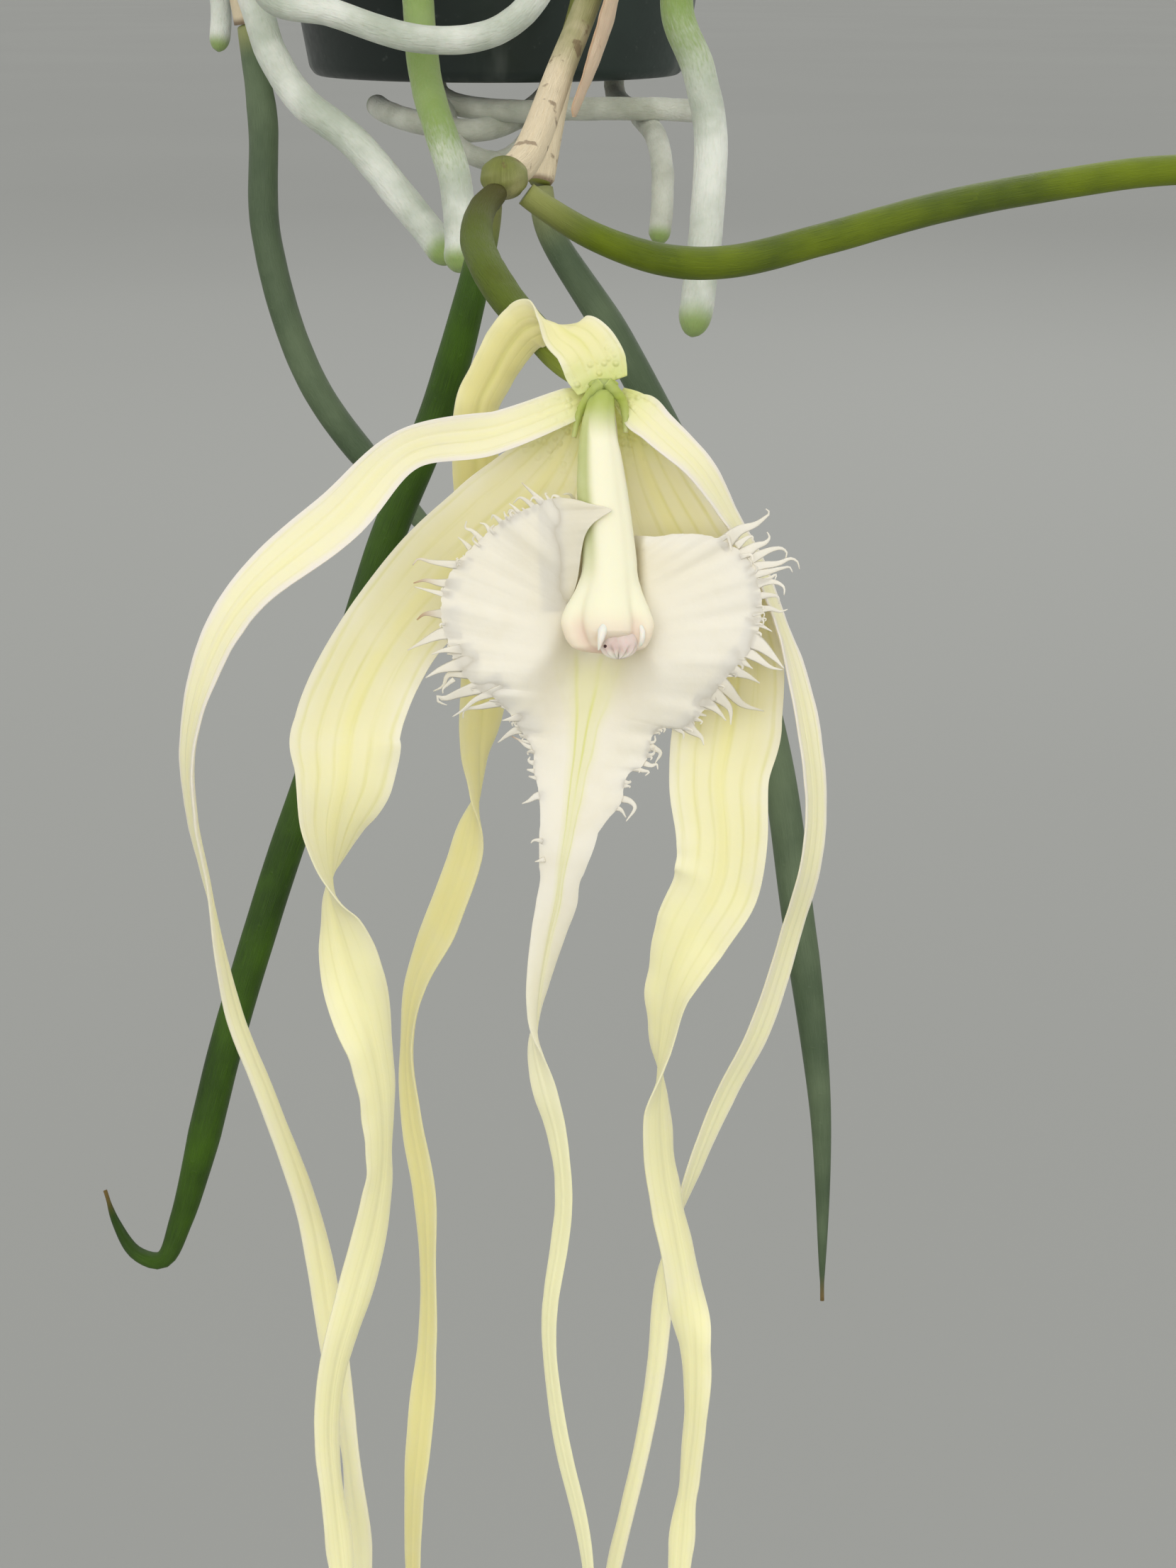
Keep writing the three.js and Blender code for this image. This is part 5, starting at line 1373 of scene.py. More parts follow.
    def down_hairs(self) -> list[Patch]:
        """Fine short hairs between the long ones, none on the smooth top of the right wing."""
        draw = np.random.default_rng(41)
        patches = []
        for side in (-1, 1):
            for share in draw.uniform(0.06 if side < 0 else 0.27, 0.9, self.down):
                root = self.blade_point(np.array(share), np.array(side * 0.93))[[0, 2]]
                inner = self.blade_point(np.array(share), np.array(side * 0.6))[[0, 2]]
                out = unit(root - inner)
                bend = np.array([-out[1], out[0]]) * draw.normal(0, 0.3)
                long = draw.uniform(0.3, 0.8) * (0.4 if share > 0.72 else 1.0)
                reach = 0.5 + long
                ends = [root + (out + bend * 0.4) * reach, root + (out * 0.9 + bend * 1.3) * reach]
                stops = [tuple(p) for p in (root, root + out * 0.5, *ends)]
                patches.append(self.hair(stops, draw.uniform(0.2, 0.6), 0, int(share * 1e4)))
        return patches

    def build(self) -> None:
        """Makes the lip with its claw, its lapped corner and its fringe as one piece."""
        claw = Ribbon(LIP_CLAW, cup=-0.04, ripple=0, keel=0, rows=40, columns=14, point=1e-6).patch()
        claw.flow[..., 1] *= 0.05
        patches = [self.body(), claw, self.lap()]
        patches += [self.hair(route, width, brown, k) for k, (width, brown, *route) in enumerate(FRINGE)]
        patches += self.down_hairs()
        add("lip_blade", merged(patches), self.finish.material(), "lip", "lip")


@dataclass
class Column:
    """The column, with its side lobes, its hollow tip and the green rims beside its root."""

    finish: ColumnFinish = ColumnFinish()
    rows: int = 150
    sides: int = 84
    cap_rows: int = 48
    cap_sides: int = 90
    cap_teeth: int = 11
    groove_at: float = 0.78
    lobe_at: float = 1.25
    hollow_at: float = 1.58 * np.pi
    hollow_depth: float = 0.62

    def body(self) -> Patch:
        """A loft of ovals down the axis that ends in two side lobes and a hollow.

        The radius over the angle a, which runs from the right by the back, is that of the oval times
        1 plus a raised tube in front, grooves beside it, the lobes, and the hollow in the last seventh.
        """
        rows = np.asarray(COLUMN, float)
        t = np.linspace(0, 1, self.rows) ** 0.85
        axis, size = Path(rows[:, :3]).at(t), Path(rows[:, 3:5]).at(t)
        size = size * blunted(t - 0.95, 0.052, 0.01)[:, None]
        s, angle = t[:, None], around(self.sides)[None, :]
        front = np.abs(angle - FRONT)
        flare = smooth(0.5, 0.8, s)
        tube = (0.05 + 0.1 * flare) * bell(front, 0.5)
        groove = -(0.04 + 0.13 * flare) * bell(front - self.groove_at, 0.2)
        lobes = 0.1 * bell(front - self.lobe_at, 0.35) * flare
        hollow = -self.hollow_depth * bell(angle - self.hollow_at, 0.62) * smooth(0.86, 0.96, s)
        swell = 1 + tube + groove + lobes + hollow + 0.012 * Wobble(51, along=3, across=3).at(s, angle)
        x = axis[:, :1] + size[:, :1] / 2 * np.cos(angle) * swell
        y = axis[:, 1:2] + size[:, 1:] / 2 * np.sin(angle) * swell
        z = axis[:, 2:3] - 0.35 * smooth(0.85, 1.0, s) * np.abs(np.cos(angle))
        return grid(to_row(np.stack([x, y, z], axis=-1)), ring_flow(self.sides, s))

    @staticmethod
    def rims() -> list[Patch]:
        """The green rims down both sides of the root and the bar that joins them at the heart."""
        patches = []
        for route in FLANGES:
            rim = Stalk(to_row(route), sides=14, rows=50).patch(
                lambda s: 0.5 - 0.3 * s, lambda s, a: 1 + 0.12 * Wobble(55, along=5, across=2).at(s, a))
            rim.flow[..., 1] *= 0.06
            patches.append(rim)
        bar = lump(to_row((0.1, -0.5, 0.25)), (1.15, 0.55, 0.42), 57)
        bar.flow[..., 1] *= 0.05
        return [*patches, bar]

    def cap(self) -> Patch:
        """The pollen's cap in the hollow: a small hood whose lower rim is cut into teeth.

        A ball's latitude p and angle a, with its lower part drawn out and in by cos 11a, and a cleft in
        front.
        """
        p = np.linspace(0.02, np.pi - 0.02, self.cap_rows)[:, None]
        a = around(self.cap_sides)[None, :]
        low = smooth(0.5 * np.pi, 0.8 * np.pi, p)
        cleft = -0.14 * bell(a - FRONT, 0.16)
        reach = np.sin(p) * (1 + 0.13 * np.cos(self.cap_teeth * a) * low + cleft)
        drop = np.cos(p) * (1 + 0.2 * low * np.cos(self.cap_teeth * a + 0.6))
        ball = turned(reach, a, drop) * np.array(ANTHER_SIZE)
        return grid(to_row(ball + np.array(ANTHER_AT)), ring_flow(self.cap_sides, p / np.pi))

    @staticmethod
    def tip_parts() -> list[Patch]:
        """The pointed tongue, the pit beside its end, painted near black as its shade, and the thin ridge
        inside the right lobe.
        """
        tongue = Stalk(to_row(TONGUE), sides=16, rows=40).patch(
            lambda s: 0.62 * np.sqrt(np.clip(s * 2, 0.03, 1)) * np.clip(1.02 - s, 0.03, 1) ** 0.7)
        tongue.flow[..., 1] *= 0.1
        ridge = Stalk(to_row(LOBE_RIDGE), sides=14, rows=40).patch(
            lambda s: 0.22 * np.sqrt(np.clip(1 - (2 * s - 1) ** 2, 0.03, 1)))
        ridge.flow[..., 1] *= 0.1
        pit = lump(to_row((0.2, -4.22, -20.3)), (0.13, 0.12, 0.13), 59, 12, 14)
        # A flow past 1 paints the pit near black: painted shade
        pit.flow[..., 1] = 1.5
        return [tongue, ridge, pit]

    def cap_material(self) -> bpy.types.Material:
        """White above, grey-pink in the hollow with darker clouds, both painted shade over the tissue's pink,
        and near black in the pit as its painted shade, where the flow is past 1.
        """
        p = Paint("anther_tissue")
        _, along = p.flow()
        cloud = p.noise(700, 3)
        # Grey-pink below the white top: the tissue's pink with the hollow's painted shade
        colour = p.mix(p.step(along, 0.12, 0.4), linear("f8efe4"), linear("e3cfc6"))
        colour = p.mix(p.step(along, 0.62, 0.85), colour, linear("f4e8dc"))
        # Darker pink-grey clouds below the top: painted shade in the hollow
        colour = p.mix(p.step(cloud, 0.5, 0.75) * 0.4 * p.step(along, 0.12, 0.3), colour, linear("c0a29c"))
        # Near black past 1 along, in the pit: painted shade
        colour = p.mix(p.step(along, 1.2, 1.3), colour, linear("2a1210"))
        return p.finish(
            Base_Color=colour,
            Roughness=p.step(cloud, 0.3, 0.7, 0.4, 0.55),
            Normal=p.bump(cloud, 0.0001, 0.6),
            Subsurface_Weight=0.3,
            Subsurface_Scale=0.001,
        )

    def build(self) -> None:
        """Makes and dresses the column and its cap."""
        column = merged([self.body(), *self.rims()])
        add("column_body", column, self.finish.material(), "column", "column")
        hood = merged([self.cap(), *self.tip_parts()])
        add("anther_hood", hood, self.cap_material(), "anther_cap", "anther")


def lump(at: Sequence[float], size: Sequence[float], seed: int, rows: int = 28, sides: int = 36) -> Patch:
    """A knobbly ball: an ellipsoid over latitude and angle, with a little seeded unevenness.

    Args:
        at: Its centre in millimetres of the whole part.
        size: Its half sizes.
        seed: Of the unevenness.
        rows: Rows of latitude.
        sides: Points round it.

    Returns:
        The closed patch.
    """
    p = np.linspace(0.03, np.pi - 0.03, rows)[:, None]
    a = around(sides)[None, :]
    uneven = 1 + 0.05 * Wobble(seed, along=2, across=3).at(p / np.pi, a) * np.sin(p)
    points = unit_ball(p, a) * uneven[..., None] * np.asarray(size, float) + np.asarray(at, float)
    return grid(points, ring_flow(sides, 0.2 + 0.6 * p / np.pi))


@dataclass
class Pedicel:
    """The flower's stalk, from the stem's knot to the knob behind the heart."""

    finish: PedicelFinish = PedicelFinish()
    seat: float = 2.0

    def build(self) -> None:
        """A swollen, softly three-ribbed stalk and its knob."""
        route = to_row(PEDICEL)
        start = self.seat / Path(route).length()

        def radius(s: np.ndarray) -> np.ndarray:
            """The stalk swells towards its middle: 1.05 + 0.4 sin."""
            return 1.05 + 0.4 * np.sin(np.pi * np.minimum(1, s * 1.1))

        def relief(s: np.ndarray, a: np.ndarray) -> np.ndarray:
            """Three soft ribs and a little unevenness."""
            return 1 + 0.05 * np.cos(3 * a + 1.5 * s) + 0.03 * Wobble(61, along=4).at(s, a)

        stalk = Stalk(route, sides=28, rows=90, start=start).patch(radius, relief)
        knob = lump(to_row(KNOB_AT), (KNOB_RADIUS,) * 3, 62)
        knob.flow[..., 1] = 0.97
        add("pedicel_stalk", merged([stalk, knob]), self.finish.material(), "pedicel", "pedicel")


# Stems and leaves

@dataclass(frozen=True)
class Growth:
    """One shoot of the plant: a sheathed stem and the round leaf that carries on from it."""

    name: str
    tone: LeafTone
    leaf_radius: float
    stem: Rows
    leaf: Rows


GROWTHS = [
    Growth("front", LeafTone.GREY, 1.9,
           [(12, -16, SUNK), (17, -27, -104), (20.5, -36.5, -100.5), (21, -43.5, -112), (17, -41, -140),
            (12.5, -34.5, -160), (10.9, -32, -168.5), (8.6, -35.6, -177), (6.3, -42.2, -188.1)],
           [(6.3, -42.2, -188.1), (7.2, -43.9, -192.7), (15.3, -48, -205.2), (24.7, -52.9, -223.3),
            (33, -59, -249.1), (36, -65, -268), (38.8, -72, -290.5), (39, -79.5, -311)]),
    Growth("left", LeafTone.GREY, 1.7,
           [(-14, -10, SUNK), (-19, -22, -104), (-24.5, -33, -101), (-28, -37, -112), (-30, -36, -135),
            (-29.5, -32, -158), (-27.6, -31.5, -171)],
           [(-27.6, -31.5, -171), (-25.8, -35.5, -181.2), (-25.5, -39.1, -194.1), (-20.4, -42, -210.8),
            (-9.2, -44.1, -225.3), (-0.9, -45.3, -234.5)]),
    Growth("right", LeafTone.DARK, 1.8,
           [(16, 2, SUNK), (21, 3, -104), (29, 4, -91), (38, 5, -86)],
           [(38, 5, -86), (55, 8, -84), (75, 10, -94), (92, 12, -115), (101, 14, -140)]),
    Growth("back_right", LeafTone.DARK, 1.7,
           [(10, 14, SUNK), (15, 22, -102), (21, 31, -89), (28, 40, -83)],
           [(28, 40, -83), (39, 54, -80), (52, 68, -89), (61, 78, -109), (65, 84, -136)]),
    Growth("back_left", LeafTone.DARK, 1.8,
           [(-8, 14, SUNK), (-13, 23, -102), (-18, 33, -89), (-24, 43, -82)],
           [(-24, 43, -82), (-34, 58, -80), (-44, 72, -90), (-51, 83, -112), (-54, 88, -141)]),
    Growth("left_side", LeafTone.DARK, 1.7,
           [(-16, 3, SUNK), (-23, 5, -103), (-31, 7, -91), (-40, 9, -85)],
           [(-40, 9, -85), (-55, 12, -81), (-72, 15, -90), (-87, 18, -110), (-94, 20, -138)]),
    Growth("young", LeafTone.OLIVE, 1.5,
           [(1, 9, SUNK), (1.5, 12, -105), (1.5, 15, -90)],
           [(1.5, 15, -90), (2, 19, -72), (2.5, 25, -52), (4, 34, -32)]),
]


@dataclass
class Foliage:
    """The stems in their papery sheaths and the round leaves."""

    sheaths: StemFinish = StemFinish()
    leaf_seat: float = 0.5
    top_seat: float = 1.6

    @staticmethod
    def stem(route: Rows, joints: int, seed: int) -> Patch:
        """A stem in sheaths that each widen to a ragged, slanting mouth.

        The radius is the stem's, times 1 + flare times the joint's own share to the power 1.3, which
        a slant by the angle and some unevenness shift, plus five soft lengthwise folds.
        """
        def relief(s: np.ndarray, a: np.ndarray) -> np.ndarray:
            """The sheaths' flare and folds."""
            slant = 0.05 * np.cos(a + seed) + 0.02 * Wobble(seed, along=0, across=5).at(s, a)
            share = np.mod(s * joints + slant, 1)
            worn = np.where(s * joints + slant > joints - 0.02, 0.0, share)
            folds = 0.03 * np.cos(5 * a + seed) * share + 0.02 * Wobble(seed + 7, along=3, across=4).at(s, a)
            return 1 + FLARE * worn**1.3 + folds

        patch = Stalk(route, sides=30, rows=max(80, 46 * joints)).patch(even(STEM_RADIUS), relief)
        patch.flow[..., 1] *= joints
        return patch

    @staticmethod
    def leaf(route: Rows, radius: float, seed: int, start: float = 0.0, point: float = 0.3) -> Patch:
        """A round leaf: narrow foot, even body, long point, and a groove along its upper side."""
        def reach(s: np.ndarray) -> np.ndarray:
            """The radius: the least of the foot's, the body's and the point's."""
            tip = np.maximum(0.05, (1 - s) / point) ** 0.7
            return radius * np.minimum(np.minimum(0.72 + 2.2 * s, 1), tip)

        def relief(s: np.ndarray, a: np.ndarray) -> np.ndarray:
            """The groove, and a slow unevenness."""
            groove = 0.3 * np.maximum(0, np.cos(a)) ** 7 * smooth(1.0, 0.9, s)
            return 1 - groove + 0.02 * Wobble(seed, along=5, across=2).at(s, a)

        return Stalk(route, sides=28, rows=190, start=start).patch(reach, relief)

    def build(self) -> None:
        """Makes every stem and leaf of the growths, then the flowering one."""
        sheathed = self.sheaths.material()
        greens = {tone: LeafFinish(tone).material() for tone in LeafTone}
        for number, growth in enumerate(GROWTHS):
            joints = max(2, round(Path.through(growth.stem).length() / SHEATH_JOINT))
            stem = self.stem(growth.stem, joints, 100 + number)
            add(f"stem_{growth.name}_sheaths", stem, sheathed, "stem_" + growth.name, "stem")
            start = self.leaf_seat / Path.through(growth.leaf).length()
            leaf = self.leaf(growth.leaf, growth.leaf_radius, 200 + number, start)
            add(f"leaf_{growth.name}_blade", leaf, greens[growth.tone], "leaf_" + growth.name, "leaf")
        self.build_flowering(sheathed, greens)

    def build_flowering(self, sheathed: bpy.types.Material,
                        greens: dict[LeafTone, bpy.types.Material]) -> None:
        """The flowering stem with its top knot, its loose sheath and its two leaves."""
        stem = self.stem(FLOWER_STEM, FLOWER_JOINTS, 131)
        knot = lump(NODE_AT, NODE_SIZE, 132)
        knot.flow[..., 1] = 0.1
        add("stem_flowering_sheaths", merged([stem, knot]), sheathed, "stem_flowering", "stem")
        for node, route, radius, tone in (
            ("leaf_olive", LEAF_OLIVE, 1.5, LeafTone.OLIVE),
            ("leaf_main", LEAF_MAIN, 1.65, LeafTone.DARK),
        ):
            start = self.top_seat / Path.through(route).length()
            patch = self.leaf(route, radius, len(route), start, point=0.2)
            add(node + "_blade", patch, greens[tone], node, "leaf")
        add("sheath_loose_paper", self.loose_sheath(), self.paper(), "sheath_loose", "sheath")

    @staticmethod
    def loose_sheath() -> Patch:
        """The sheath that has come away: a cupped strip beside the stem's last joint."""
        path = Path.through(FLOWER_STEM)
        shares, widths = np.array([0.62, 0.7, 0.78, 0.86, 0.93]), (2.6, 3, 3, 2.6, 1.2)
        turn, gap = 57, 0.7
        at = path.at(path.by_length(shares))
        drift = STEM_RADIUS * (1 + FLARE) + gap + 0.15 * np.arange(len(shares))
        stations = [
            (x + 0.84 * d, y - 0.55 * d, z - 0.2 * i, widths[i], turn)
            for i, ((x, y, z), d) in enumerate(zip(at, drift))
        ]
        strip = Ribbon(stations, cup=-0.14, thickness=0.22, edge=0.1, keel=0.05, ripple=0.25, ripples=4,
                       seed=77, rows=120, columns=20)
        s, u = np.linspace(0, 1, strip.rows), bunched(strip.columns)
        points, face = strip.surface(s, u)
        back = np.array([to_flower(p) for p in points.reshape(-1, 3)]).reshape(points.shape)
        c, t = math.cos(VIEW_TILT), math.sin(VIEW_TILT)
        x, y, z = face.T
        face = np.stack([x, y * c - z * t, y * t + z * c], axis=-1)
        return closed_blade(back, face[:, None], s, u, strip.thickness, strip.edge)

    @staticmethod
    def paper() -> bpy.types.Material:
        """Dry, peach-tan sheath with pale fibres and brown edges."""
        p = Paint("sheath_paper")
        across, along = p.flow()
        fibres = p.noise(6, 4, p.vector(across * 16.0, along * 1.5))
        colour = p.mix(fibres, linear("d9b48c"), linear("f3e2ca"))
        off = abs(across - 0.5) * 2
        colour = p.mix(p.step(off, 0.85, 1.0) * 0.5, colour, linear("a0703f"))
        colour = p.mix(p.step(p.noise(500, 3), 0.62, 0.72) * 0.5, colour, linear("8d5f3a"))
        return p.finish(
            Base_Color=colour,
            Roughness=p.step(fibres, 0.2, 0.8, 0.6, 0.85),
            Normal=p.bump(fibres, 0.0002, 0.8),
            Subsurface_Weight=0.15,
            Subsurface_Scale=0.001,
        )


# Roots

@dataclass(frozen=True)
class Root:
    """One root's route, radius and the share of it that is green from its start."""

    node: str
    radius: float
    route: Rows
    green: float = 0.0


ROOTS = [
    Root("root_loop", 1.45,
         [(-10, -16, SUNK), (-13, -27, -106), (-16, -38, -102), (-19, -46, -112), (-22, -52, -135),
          (-22.8, -55, -155), (-21.8, -55.4, -167.6), (-15.5, -55.5, -169.3), (-7.3, -56.4, -171.7),
          (-0.6, -56.6, -171.9), (3.5, -56.1, -170.4), (7, -55.2, -166.4), (9, -53, -154), (9.5, -51, -144)]),
    Root("root_slanting", 1.75,
         [(-22, -8, SUNK), (-29, -14, -106), (-35.5, -20.5, -103), (-38, -28, -116), (-37, -38, -132),
          (-31, -43.5, -152), (-25, -43.5, -168.3), (-22.8, -46.7, -174.1), (-19.2, -49.5, -178.8),
          (-13.7, -52, -182.7), (-9, -54.8, -187.7), (-5.1, -58, -191.9), (-3, -60.6, -194.4)]),
    Root("root_green", 1.75,
         [(-5, -18, SUNK), (-6.5, -29, -106), (-8, -38.5, -102), (-8.5, -43.5, -112), (-8, -43.5, -140),
          (-6.9, -44.6, -168.2), (-6.1, -49.3, -175.5), (-4.2, -55.5, -181), (-2.4, -60, -185.9),
          (-1.6, -64.2, -191.3), (-1.8, -66.5, -194.7)], 0.84),
    Root("root_right", 1.85,
         [(18, -12, SUNK), (23, -21, -106), (28.5, -29.5, -102), (32, -35, -114), (28, -39, -142),
          (21.6, -40.4, -168.3), (23.9, -45.2, -175.6), (25.1, -48.3, -181.4), (24.7, -53.6, -190),
          (23.9, -57.2, -197.2), (22.9, -60.1, -202.4)], 0.66),
    Root("root_left", 1.3,
         [(-24, -2, SUNK), (-32, -4, -106), (-39, -6, -104), (-42, -7, -118), (-38, -6.5, -150),
          (-34.5, -6, -168.9), (-34.8, -7.3, -175)]),
]
BASE_ROOTS = [
    Root("roots_base", 1.35,
         [(-7.5, -13, -177), (-6.5, -14.5, -180), (3, -21, -181.4), (9.2, -25, -180.9), (16, -25.5, -180.8),
          (22, -24, -181), (27.5, -19, -181.6)]),
    Root("roots_base", 1.4,
         [(7.5, -13, -177), (6.5, -14, -180), (-1, -20, -183.6), (-8, -19.5, -183), (-13, -14, -182),
          (-15.5, -6, -181.4)]),
    Root("roots_base", 1.2,
         [(-6, -15.5, -180.6), (-4, -22, -185.5), (1, -23, -187), (5, -19, -184), (5.6, -15, -180.6)]),
    Root("roots_base", 1.3,
         [(15, 0, -177), (15.2, -2, -180.2), (18, -18, -182), (20, -29, -184.5), (20.4, -36, -189),
          (19.9, -39.5, -195)]),
]


@dataclass
class Roots:
    """The aerial roots, velvety and a little knobbly."""

    rows_per_stretch: int = 16

    def skin(self, root: Root, seed: int) -> Patch:
        """A root: even radius, rounded tip, slow swellings and fine bumps."""
        def radius(s: np.ndarray) -> np.ndarray:
            """The body's radius, and a rounded end over the last twentieth."""
            return root.radius * blunted(s - 0.95, 0.05, 0.02)

        def relief(s: np.ndarray, a: np.ndarray) -> np.ndarray:
            """Slow swellings along it and small bumps all over."""
            slow = 0.05 * Wobble(seed, along=4, across=1).at(s, a)
            return 1 + slow + 0.018 * Wobble(seed + 9, waves=10, along=18, across=5).at(s, a)

        rows = self.rows_per_stretch * len(root.route)
        return Stalk(root.route, sides=26, rows=rows, by_length=False).patch(radius, relief)

    def build(self) -> None:
        """Makes the climbing roots, and the ones under the pot as one piece."""
        for number, root in enumerate(ROOTS):
            finish = RootFinish(root.node + "_skin", green_until=root.green)
            piece = make_piece(root.node + "_velvet", self.skin(root, 300 + number), finish.material())
            dress(piece, root.node, "root")
        under = merged([self.skin(root, 330 + k) for k, root in enumerate(BASE_ROOTS)])
        finish = RootFinish("roots_base_skin", grey=linear("a7aa9a"), white=linear("d3d5c8"))
        add("roots_base_velvet", under, finish.material(), "roots_base", "root")


# Pot, bark and hanger

def pot_outer(z: float) -> float:
    """The pot wall's outer radius at a height, a straight taper from base to top."""
    return POT_BASE_RADIUS + (POT_TOP_RADIUS - POT_BASE_RADIUS) * (z - POT_BASE) / POT_HEIGHT


def rounded(profile: Sequence[tuple[float, float]], radius: float, steps: int = 5) -> np.ndarray:
    """A profile with its inner corners rounded by short quadratic arcs.

    Args:
        profile: Radius and height of each corner.
        radius: How far before and after a corner its arc starts and ends, at most.
        steps: Points on each arc.

    Returns:
        The rounded profile's points.
    """
    corners = np.asarray(profile, float)
    points = [corners[0]]
    for before, corner, after in zip(corners, corners[1:], corners[2:]):
        back, ahead = before - corner, after - corner
        cut = min(radius, 0.45 * np.linalg.norm(back), 0.45 * np.linalg.norm(ahead))
        start, end = corner + unit(back) * cut, corner + unit(ahead) * cut
        for t in np.linspace(0, 1, steps):
            points.append(start * (1 - t) ** 2 + corner * 2 * t * (1 - t) + end * t**2)
    points.append(corners[-1])
    return np.array(points)


@dataclass
class Pot:
    """The moulded pot with its rolled rim and drain holes."""

    finish: PotFinish = PotFinish()
    sides: int = 144

    def body(self) -> Patch:
        """The wall's closed profile turned round the axis.

        The profile runs from the axis under the floor, out and up the wall, over the rim, down inside
        and back to the axis, with its corners rounded.
        """
        under, floor = RIM_TOP - RIM_DEPTH, POT_BASE + POT_FLOOR
        low, out = POT_BASE + 0.8, POT_BASE_RADIUS
        profile = rounded([
            (0.02, low), (out - 3, low), (out - 2, POT_BASE), (out - 0.6, POT_BASE),
            (pot_outer(POT_BASE + 1), POT_BASE + 1), (pot_outer(under), under), (RIM_RADIUS - 0.5, under),
            (RIM_RADIUS, under + 0.6), (RIM_RADIUS, RIM_TOP - 0.8), (RIM_RADIUS - 0.6, RIM_TOP),
            (RIM_RADIUS - RIM_LIP, RIM_TOP), (pot_outer(RIM_TOP - 2) - POT_WALL, RIM_TOP - 2),
            (pot_outer(floor) - POT_WALL, floor), (0.02, floor)], 0.5)
        a = around(self.sides)[None, :]
        r, z = profile[:, :1], profile[:, 1:]
        return grid(turned(r, a, z), ring_flow(self.sides, np.linspace(0, 1, len(profile))[:, None]))

    def drilled(self, pot: bpy.types.Object) -> None:
        """Cuts the drain holes through the floor with one applied Boolean."""
        drills = merged([
            Stalk([(x, y, POT_BASE - 3), (x, y, POT_BASE + 6)], sides=32, rows=3).patch(even(DRAIN_RADIUS))
            for x, y, _ in turned(DRAIN_CIRCLE, around(DRAIN_COUNT), 0)
        ])
        cutter = make_piece("drills", drills, pot.data.materials[0])
        cut = pot.modifiers.new("drain_holes", "BOOLEAN")
        cut.operation, cut.object, cut.solver = "DIFFERENCE", cutter, "EXACT"
        bpy.context.view_layer.update()
        drilled = pot.evaluated_get(bpy.context.evaluated_depsgraph_get())
        result = bpy.data.meshes.new_from_object(drilled)
        pot.modifiers.clear()
        pot.data = result
        bpy.data.objects.remove(cutter)

    def build(self) -> None:
        """Makes, drills and dresses the pot."""
        pot = make_piece("pot_shell", self.body(), self.finish.material())
        self.drilled(pot)
        dress(pot, "pot", "pot")


@dataclass
class Bark:
    """The bark mix: a dark bed with rough chips on it."""

    finish: BarkFinish = BarkFinish()
    chips: int = 150
    chip_rows: int = 9
    chip_sides: int = 14
    chip_field: float = 29.0
    golden_turn: float = 2.39996
    crown_radius: float = 33.0
    bed_rings: int = 26
    bed_sides: int = 90
    seed: int = 5

    def bed(self) -> Patch:
        """The bed: a closed plug that fills the pot, with a lumpy crown."""
        def inside(z: float) -> float:
            """The pot's inner radius at a height, less the gap."""
            return pot_outer(z) - POT_WALL - GAP

        low = POT_BASE + POT_FLOOR + GAP
        top = inside(BARK_TOP) - 0.2
        r = np.concatenate([[0.02, inside(low) - 0.4], np.linspace(top, 0.05, self.bed_rings)])[:, None]
        crown = BARK_TOP + BARK_CROWN * (1 - np.linspace(1, 0, self.bed_rings) ** 2) - 1.2
        z = np.concatenate([[low, low], crown])
        a = around(self.bed_sides)[None, :]
        lumps = 0.7 * Wobble(81, along=3, across=6).at(r / top, a)
        bumps = lumps * smooth(0, 6, r) * smooth(top, top - 3, r)
        height = z[:, None] + np.where(np.arange(len(r))[:, None] > 2, bumps, 0)
        return grid(turned(r, a, height), np.zeros((len(r), self.bed_sides + 1, 2)))

    def chip_patches(self) -> list[Patch]:
        """The chips: rounded, split-edged blocks, laid out on a sunflower spiral and tilted at random.

        A chip is a ball over latitude and angle pushed to a block by raising its coordinates to the
        power 0.45, sized at random, roughened, turned and set on the crown.
        """
        draw = np.random.default_rng(self.seed)
        p = np.linspace(0.12, np.pi - 0.12, self.chip_rows)[:, None]
        ball = unit_ball(p, around(self.chip_sides)[None, :])
        block = np.sign(ball) * np.abs(ball) ** 0.45
        patches = []
        for k in range(self.chips):
            reach = self.chip_field * math.sqrt((k + 0.5) / self.chips)
            angle = k * self.golden_turn + draw.uniform(-0.3, 0.3)
            size = np.array([draw.uniform(2.4, 5.2), draw.uniform(1.6, 3.4), draw.uniform(0.8, 1.7)])
            rough = 1 + 0.12 * draw.standard_normal(block.shape[:2])[..., None]
            chip = block * size * rough
            turn = rotation(draw.uniform(0, np.pi), draw.normal(0, 0.35), draw.normal(0, 0.35))
            fall = (reach / self.crown_radius) ** 2
            crown = BARK_TOP + BARK_CROWN * (1 - fall) + draw.uniform(-0.9, 1.1)
            centre = np.array([reach * math.cos(angle), reach * math.sin(angle), crown])
            flow = np.full((self.chip_rows, self.chip_sides + 1, 2), draw.random())
            patches.append(grid(chip @ turn.T + centre, flow))
        return patches

    def build(self) -> None:
        """Makes and dresses the bark."""
        patch = merged([self.bed(), *self.chip_patches()])
        add("bark_mix", patch, self.finish.material(), "bark", "bark")


def rotation(yaw: float, pitch: float, roll: float) -> np.ndarray:
    """The matrix that rolls about x, pitches about y and then yaws about z."""
    cz, sz, cy, sy, cx, sx = (f(v) for v in (yaw, pitch, roll) for f in (math.cos, math.sin))
    about_z = np.array([[cz, -sz, 0], [sz, cz, 0], [0, 0, 1]])
    about_y = np.array([[cy, 0, sy], [0, 1, 0], [-sy, 0, cy]])
    about_x = np.array([[1, 0, 0], [0, cx, -sx], [0, sx, cx]])
    return about_z @ about_y @ about_x


